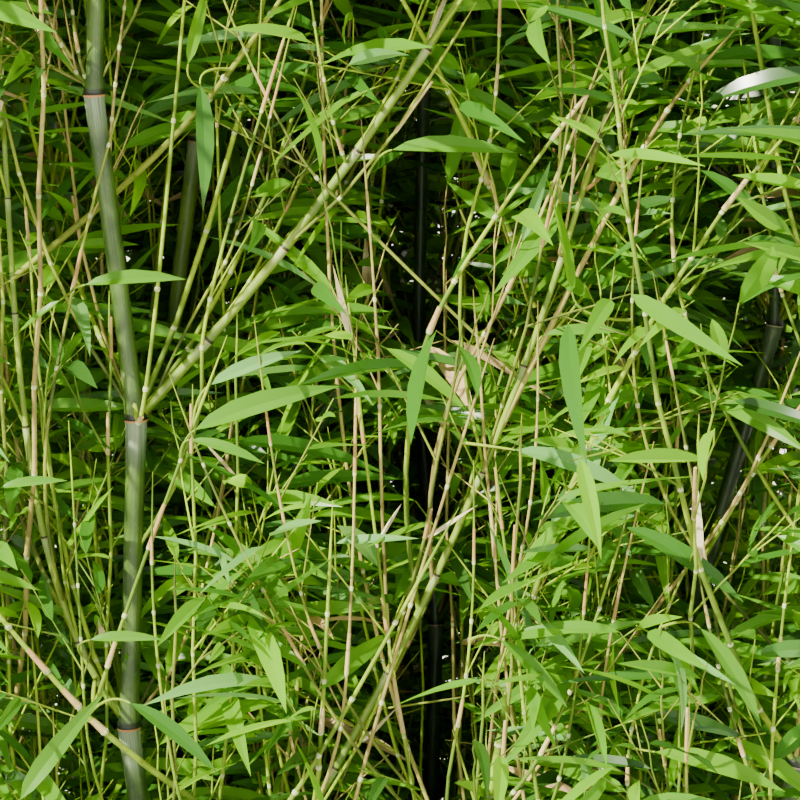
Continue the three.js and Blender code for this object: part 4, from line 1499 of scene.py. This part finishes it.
def points_mesh(name, leaves):
    """A mesh of bare points with each leaf's way, face, size and form."""
    mesh = bpy.data.meshes.new(name)
    mesh.from_pydata([tuple(leaf.root) for leaf in leaves], [], [])
    store(mesh, "way", "FLOAT_VECTOR", [tuple(leaf.way) for leaf in leaves])
    store(mesh, "face", "FLOAT_VECTOR", [tuple(leaf.face) for leaf in leaves])
    store(mesh, "size", "FLOAT", [leaf.length for leaf in leaves])
    form = mesh.attributes.new("form", "INT", "POINT")
    form.data.foreach_set("value", np.array([leaf.form for leaf in leaves], np.int32))
    return mesh


def lines_mesh(name, tubes):
    """A mesh of separate open lines with a girth at each point."""
    vertices, edges, girths = [], [], []
    for points, radii in tubes:
        first = len(vertices)
        vertices += [tuple(point) for point in points]
        girths += radii
        edges += [(first + i, first + i + 1) for i in range(len(points) - 1)]
    mesh = bpy.data.meshes.new(name)
    mesh.from_pydata(vertices, edges, [])
    store(mesh, "girth", "FLOAT", girths)
    return mesh


# Canes and boughs

def node_swell(gap):
    """The share by which a cane stands out at a height over a node: a ring, a groove and a flare."""
    bumps = [size * math.exp(-(((gap - at) / width) ** 2)) for size, at, width in (NODE_RING, NODE_GROOVE)]
    flare, reach = FLARE_OVER if gap > 0 else FLARE_UNDER
    return bumps[0] + bumps[1] + flare * math.exp(-abs(gap) / reach)


def ring_heights(nodes, bottom, top, stride):
    """The places of a cane's rings: close together round each node, with two rings at the node itself."""
    heights = [bottom, top]
    for node in nodes:
        heights += [node + step for step in NODE_STEPS]
    heights += list(np.arange(bottom + stride, top, stride))
    heights = sorted(h for h in heights if bottom <= h <= top)
    kept = [heights[0]]
    for height in heights[1:]:
        near_node = min(abs(height - node) for node in nodes) < NODE_REACH
        if height - kept[-1] > (CLOSEST if near_node else stride * STRIDE_SHARE):
            kept.append(height)
    return kept


def with_ends(rows):
    """The values of a tube's rings, and those of its foot and tip."""
    return np.concatenate([rows.reshape(-1, *rows.shape[2:]), rows[0, :1], rows[-1, :1]])


def cane_piece(name, spots, nodes, level, material, form):
    """A cane from (height, centre, way, radius) spots: swollen at its nodes, grooved over each branch."""
    heights, centres, alongs = (np.array([spot[i] for spot in spots]) for i in range(3))
    sides = form["sides"]
    angle = 2 * math.pi * np.arange(sides) / sides
    radii = np.zeros((len(spots), sides))
    under = np.full(radii.shape, PLAIN_BARK)
    over = np.full(radii.shape, PLAIN_BARK)
    for i, (height, _, _, radius) in enumerate(spots):
        gaps = [(height - node) * FULL_GIRTH / radius for node in nodes]
        radii[i] = radius * (SLENDER + sum(node_swell(gap) for gap in gaps))
        for k, gap in enumerate(gaps):
            nearer = under if gap < 0 else over
            nearer[i] = np.minimum(nearer[i], abs(gap))
            if GROOVE_START < gap < GROOVE_END:
                depth = form["groove"] * radius * (1 - gap / GROOVE_END)
                turn = (angle - math.radians(180 * (k % 2)) + math.pi) % (2 * math.pi) - math.pi
                radii[i] -= depth * np.exp(-((turn / GROOVE_WIDTH) ** 2))
    vertices, faces = tube(centres, alongs, level, radii)
    piece = new_piece(name, vertices, faces, material)
    grain = np.zeros((len(spots), sides, 3))
    grain[..., 0] = np.cos(angle)
    grain[..., 1] = np.sin(angle)
    grain[..., 2] = heights[:, None]
    store(piece.data, "under", "FLOAT", with_ends(under))
    store(piece.data, "over", "FLOAT", with_ends(over))
    store(piece.data, "grain", "FLOAT_VECTOR", with_ends(grain))
    return piece


class CanesOperator(bpy.types.Operator):
    """Builds the twelve canes"""

    bl_idname = "bamboo.canes"
    bl_label = "Canes"

    def execute(self, context):
        skins = {kind: cane_material(*BARKS[kind]) for kind in ("grey", "fresh", "dark")}
        culms, _, _ = skeleton()
        for culm, kind in zip(culms, CANE_BARKS):
            spots = []
            for height in ring_heights(culm.heights, -CANE_SUNK, culm.tip, CANE["stride"]):
                radius = culm.girth(height)
                if height > culm.heights[-1] + BEYOND_LAST:
                    radius = min(radius, CROWN["girth"] * CROWN_FIT)
                spots.append((height, culm.point(height), culm.along(height), radius))
            name = culm.name.replace("culm", "cane")
            piece = cane_piece(name, spots, culm.heights, level_square(culm.plane), skins[kind], CANE)
            settle(piece, "culm", culm.name)
        return {"FINISHED"}


class BoughsOperator(bpy.types.Operator):
    """Builds the eight main branches"""

    bl_idname = "bamboo.boughs"
    bl_label = "Boughs"

    def execute(self, context):
        skin = cane_material(*BARKS["bough"])
        _, boughs, _ = skeleton()
        for bough in boughs:
            length = path_length(bough["points"])
            nodes = [share * length for share in bough_nodes(bough)]
            spots = []
            for height in ring_heights(nodes, bough["root_radius"] * BOUGH_SUNK, length, BOUGH["stride"]):
                share = height / length
                radius = bough["radius"] * (1 - (1 - BRANCH_TAPER) * share)
                spots.append((height, *on_path(bough["points"], share), radius))
            name = bough["name"].replace("branch", "bough")
            piece = cane_piece(name, spots, nodes, level_square(bough["bearing"]), skin, BOUGH)
            settle(piece, "branch", bough["name"])
        return {"FINISHED"}


# Stems, twigs, leaves and sheaths

def portions(items, faces_each):
    """The items in lots, each of which makes a piece well under 200,000 triangles."""
    most = MOST_TRIANGLES // faces_each
    lots = math.ceil(len(items) / most)
    return [items[k::lots] for k in range(lots)]


def mass_nodes():
    """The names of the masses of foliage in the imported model."""
    return [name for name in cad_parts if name.split("_")[0] in ("crown", "spray", "shoot")]


def growth_of(context):
    """What grows with the settings of the scene."""
    plant = context.scene.bamboo_plant
    return grown(plant.seed, plant.leaf_length)


class TwigsOperator(bpy.types.Operator):
    """Builds the stems and twigs of the masses and between them, and the pale rings at their nodes"""

    bl_idname = "bamboo.twigs"
    bl_label = "Twigs"

    def execute(self, context):
        growth = growth_of(context)
        skins = {kind: patchy_material(*finish) for kind, finish in STEM_SKINS.items()}
        groups = (("stems", growth.stems, STEM_SIDES), ("twigs", growth.twigs, TWIG_SIDES))
        for label, group, sides in groups:
            for kind, tubes in group.items():
                values = {"Sides": sides, "Material": skins[kind]}
                for k, lot in enumerate(portions(tubes, TUBE_TRIANGLES)):
                    name = f"{label}_{kind}_{k + 1}"
                    piece = built_by_nodes(name, lines_mesh(kind, lot), tubes_tree(), values)
                    settle(piece, "branch", *mass_nodes())
        rings = lines_mesh("rings", [([low, high], [girth, girth]) for low, high, girth in growth.rings])
        values = {"Sides": RING_SIDES, "Material": patchy_material(*WAX)}
        piece = built_by_nodes("node_rings", rings, tubes_tree(), values)
        settle(piece, "branch")
        return {"FINISHED"}


class LeavesOperator(bpy.types.Operator):
    """Builds the leaves, each tint in pieces of its own"""

    bl_idname = "bamboo.leaves"
    bl_label = "Leaves"

    def execute(self, context):
        plant = context.scene.bamboo_plant
        growth = growth_of(context)
        shape = {"Slimness": plant.leaf_slimness, "Fold": plant.leaf_fold, "Bend": plant.leaf_bend}
        for tint, (gloss, through) in LEAF_FINISH.items():
            skin = leaf_material(f"leaf_{tint}", getattr(plant, tint), gloss, through)
            values = {**shape, "Stations": BLADE_STATIONS, "Material": skin}
            chosen = [leaf for leaf in growth.leaves if leaf.tint == tint]
            for k, lot in enumerate(portions(chosen, LEAF_TRIANGLES)):
                name = f"leaves_{tint}_{k + 1}"
                piece = built_by_nodes(name, points_mesh(tint, lot), leaves_tree(), values)
                settle(piece, "foliage", *mass_nodes())
        return {"FINISHED"}


class SheathsOperator(bpy.types.Operator):
    """Builds the papery blades at the stems' nodes"""

    bl_idname = "bamboo.sheaths"
    bl_label = "Sheaths"

    def execute(self, context):
        blades = points_mesh("sheaths", growth_of(context).sheaths)
        values = {**SHEATH, "Material": patchy_material(*PAPER)}
        piece = built_by_nodes("sheaths", blades, leaves_tree(), values)
        settle(piece, "branch")
        return {"FINISHED"}


# Pot and soil

def outer_radius(height):
    """The pot's outside, under its rim band."""
    return FOOT_RADIUS + (SHOULDER_RADIUS - FOOT_RADIUS) * height / (POT_HEIGHT - RIM_BAND)


def inner_radius(height):
    """The pot's inside."""
    return outer_radius(height) - POT_WALL


def rounded(profile, reach, steps=4):
    """A profile with its inner corners rounded over a reach."""
    done = [profile[0]]
    for before, corner, after in zip(profile, profile[1:], profile[2:]):
        before, corner, after = Vector(before), Vector(corner), Vector(after)
        back = (before - corner).normalized() * min(reach, (before - corner).length * CORNER_SHARE)
        ahead = (after - corner).normalized() * min(reach, (after - corner).length * CORNER_SHARE)
        bend = arc(corner + back, corner, corner + ahead, np.linspace(0, 1, steps + 1))
        done += [tuple(point) for point in bend]
    return done + [profile[-1]]


def cut_drains(piece):
    """Cuts the drain holes through the pot's floor."""
    cutters = []
    for k in range(DRAINS):
        bearing = 2 * math.pi * (k + 0.5) / DRAINS
        centre = Vector((DRAIN_CIRCLE * math.cos(bearing), DRAIN_CIRCLE * math.sin(bearing), 0))
        sizes = {"vertices": DRAIN_SIDES, "radius": DRAIN_RADIUS, "depth": 3 * POT_FLOOR}
        bpy.ops.mesh.primitive_cylinder_add(location=centre, **sizes)
        cutters.append(bpy.context.object)
        cut = piece.modifiers.new("drain", "BOOLEAN")
        cut.operation = "DIFFERENCE"
        cut.object = cutters[-1]
    whole = evaluated_mesh(piece)
    piece.modifiers.clear()
    piece.data = whole
    for cutter in cutters:
        bpy.data.objects.remove(cutter)


class PotOperator(bpy.types.Operator):
    """Builds the terracotta pot"""

    bl_idname = "bamboo.pot"
    bl_label = "Pot"

    def execute(self, context):
        pot = context.scene.bamboo_pot
        shoulder = POT_HEIGHT - RIM_BAND
        rim = outer_radius(POT_HEIGHT) + RIM_PROUD
        profile = [
            (0, 0),
            (FOOT_RADIUS, 0),
            (SHOULDER_RADIUS, shoulder),
            (SHOULDER_RADIUS + RIM_PROUD, shoulder + RIM_SLANT),
            (rim, POT_HEIGHT),
            (inner_radius(POT_HEIGHT), POT_HEIGHT),
            (inner_radius(POT_FLOOR), POT_FLOOR),
            (0, POT_FLOOR),
        ]
        vertices, faces = lathe(rounded(profile, POT_BEVEL), POT_SIDES)
        piece = new_piece("pot_clay", vertices, faces, clay_material(pot.clay, pot.lime))
        cut_drains(piece)
        settle(piece, "terracotta", "pot")
        return {"FINISHED"}


def soil_top(x, y, relief):
    """The height of the soil's surface at a place, with its lumps."""
    radius = math.hypot(x, y)
    edge = inner_radius(SOIL_TOP - SOIL_EDGE_DROP)
    fall = max(0.0, (radius - SOIL_FLAT_RADIUS) / (edge - SOIL_FLAT_RADIUS)) * SOIL_EDGE_DROP
    coarse = noise.noise(Vector((x, y, 0)) * COARSE)
    fine = noise.noise(Vector((x, y, FINER_LAYER)) * FINER)
    return SOIL_TOP - fall + relief * (coarse + FINER_SHARE * fine)


def bark_places(count, relief):
    """Where the chips of bark lie on the soil, with their way, face and length."""
    rng = random.Random(CHIP_SEED)
    chips = []
    for _ in range(count):
        radius = CHIP_CIRCLE * math.sqrt(rng.random())
        turn = rng.uniform(0, 2 * math.pi)
        x, y = radius * math.cos(turn), radius * math.sin(turn)
        root = Vector((x, y, soil_top(x, y, relief) + CHIP_RISE))
        lean = rng.uniform(-CHIP_LEAN, CHIP_LEAN)
        spin = turn * CHIP_TURNS
        way = Vector((math.cos(spin), math.sin(spin), lean)).normalized()
        face = Vector((rng.uniform(-CHIP_TIP, CHIP_TIP), rng.uniform(-CHIP_TIP, CHIP_TIP), 1)).normalized()
        chips.append(Leaf(root, way, face, rng.uniform(*CHIP_LENGTH), 0, "chip"))
    return chips


class SoilOperator(bpy.types.Operator):
    """Builds the soil and the chips of bark that lie on it"""

    bl_idname = "bamboo.soil"
    bl_label = "Soil"

    def execute(self, context):
        pot = context.scene.bamboo_pot
        rim = inner_radius(SOIL_TOP - SOIL_EDGE_DROP) - GAP
        profile = [(0, POT_FLOOR + GAP), (inner_radius(POT_FLOOR) - GAP, POT_FLOOR + GAP)]
        profile += [(rim * (SOIL_RINGS - i) / SOIL_RINGS, SOIL_TOP) for i in range(SOIL_RINGS)]
        profile.append((0, SOIL_TOP))
        vertices, faces = lathe(profile, SOIL_SIDES)
        lumpy = []
        for x, y, z in vertices:
            top = z == SOIL_TOP
            lumpy.append((x, y, soil_top(x, y, pot.soil_relief) if top else z))
        settle(new_piece("soil_bed", lumpy, faces, patchy_material(*EARTH)), "soil", "soil")
        chips = points_mesh("chips", bark_places(pot.chips, pot.soil_relief))
        values = {"Material": patchy_material(*BARK_CHIP)}
        settle(built_by_nodes("bark_chips", chips, chips_tree(), values), "soil")
        return {"FINISHED"}


# Stage

def add_light(name, strength, bearing, height, softness, colour):
    """A far light, which comes from a bearing and stands so many degrees high."""
    light = bpy.data.lights.new(name, "SUN")
    light.energy = strength
    light.angle = math.radians(softness)
    light.color = colour
    lamp = bpy.data.objects.new(name, light)
    turn, rise = math.radians(bearing), math.radians(height)
    place = Vector((math.cos(turn) * math.cos(rise), math.sin(turn) * math.cos(rise), math.sin(rise)))
    lamp.location = place * LIGHT_AWAY
    lamp.rotation_euler = place.to_track_quat("Z", "Y").to_euler()
    bpy.context.scene.collection.objects.link(lamp)


def add_camera(scene):
    """The photograph's camera."""
    lens = bpy.data.cameras.new("camera")
    lens.sensor_width = SENSOR
    lens.lens = lens.sensor_width / 2 / HALF_VIEW
    camera = bpy.data.objects.new("camera", lens)
    camera.location = AIM - DISTANCE * Vector(FORWARD)
    camera.rotation_euler = (math.radians(90 - LOOK_DOWN), 0, 0)
    scene.collection.objects.link(camera)
    scene.camera = camera


class StageOperator(bpy.types.Operator):
    """Sets up the floor, the lights and the camera"""

    bl_idname = "bamboo.stage"
    bl_label = "Stage"

    def execute(self, context):
        stage = context.scene.bamboo_stage
        corners = [(x * FLOOR_HALF, y * FLOOR_HALF, 0) for x, y in ((-1, -1), (1, -1), (1, 1), (-1, 1))]
        shade = [part * FLOOR_SHADE for part in stage.floor]
        pale = patchy_material("floor_pale", stage.floor, shade, **FLOOR)
        new_piece("floor", corners, [(0, 1, 2, 3)], pale, smooth=False)
        for name, place in LIGHTS.items():
            add_light(name, getattr(stage, name), *place)
        world = bpy.data.worlds.new("studio")
        world.use_nodes = True
        values = {"Color": opaque(SKY), "Strength": stage.sky}
        feed(world.node_tree, world.node_tree.nodes["Background"], values)
        context.scene.world = world
        add_camera(context.scene)
        return {"FINISHED"}


class BambooPanel(bpy.types.Panel):
    """Lists the steps that build the plant"""

    bl_idname = "BAMBOO_PT_steps"
    bl_label = "Potted bamboo"
    bl_space_type = "VIEW_3D"
    bl_region_type = "UI"
    bl_category = "Bamboo"

    def draw(self, context):
        for step in STEPS:
            self.layout.operator(step.bl_idname)
        for settings in ("bamboo_plant", "bamboo_pot", "bamboo_stage"):
            group = getattr(context.scene, settings)
            box = self.layout.box()
            for name in group.bl_rna.properties.keys():
                if name not in ("name", "rna_type"):
                    box.prop(group, name)


STEPS = (
    StageOperator,
    PotOperator,
    SoilOperator,
    CanesOperator,
    BoughsOperator,
    TwigsOperator,
    LeavesOperator,
    SheathsOperator,
)
GROUPS = {"bamboo_plant": PlantSettings, "bamboo_pot": PotSettings, "bamboo_stage": StageSettings}


def register():
    """Registers the settings, the operators and the panel."""
    for name, group in GROUPS.items():
        bpy.utils.register_class(group)
        setattr(bpy.types.Scene, name, bpy.props.PointerProperty(type=group))
    for step in STEPS:
        bpy.utils.register_class(step)
    bpy.utils.register_class(BambooPanel)


def unregister():
    """Takes the panel, the operators and the settings away again."""
    bpy.utils.unregister_class(BambooPanel)
    for step in reversed(STEPS):
        bpy.utils.unregister_class(step)
    for name, group in GROUPS.items():
        delattr(bpy.types.Scene, name)
        bpy.utils.unregister_class(group)


def main():
    """Builds every piece in order."""
    register()
    bpy.ops.bamboo.stage()
    bpy.ops.bamboo.pot()
    bpy.ops.bamboo.soil()
    bpy.ops.bamboo.canes()
    bpy.ops.bamboo.boughs()
    bpy.ops.bamboo.twigs()
    bpy.ops.bamboo.leaves()
    bpy.ops.bamboo.sheaths()


if __name__ == "__main__":
    main()
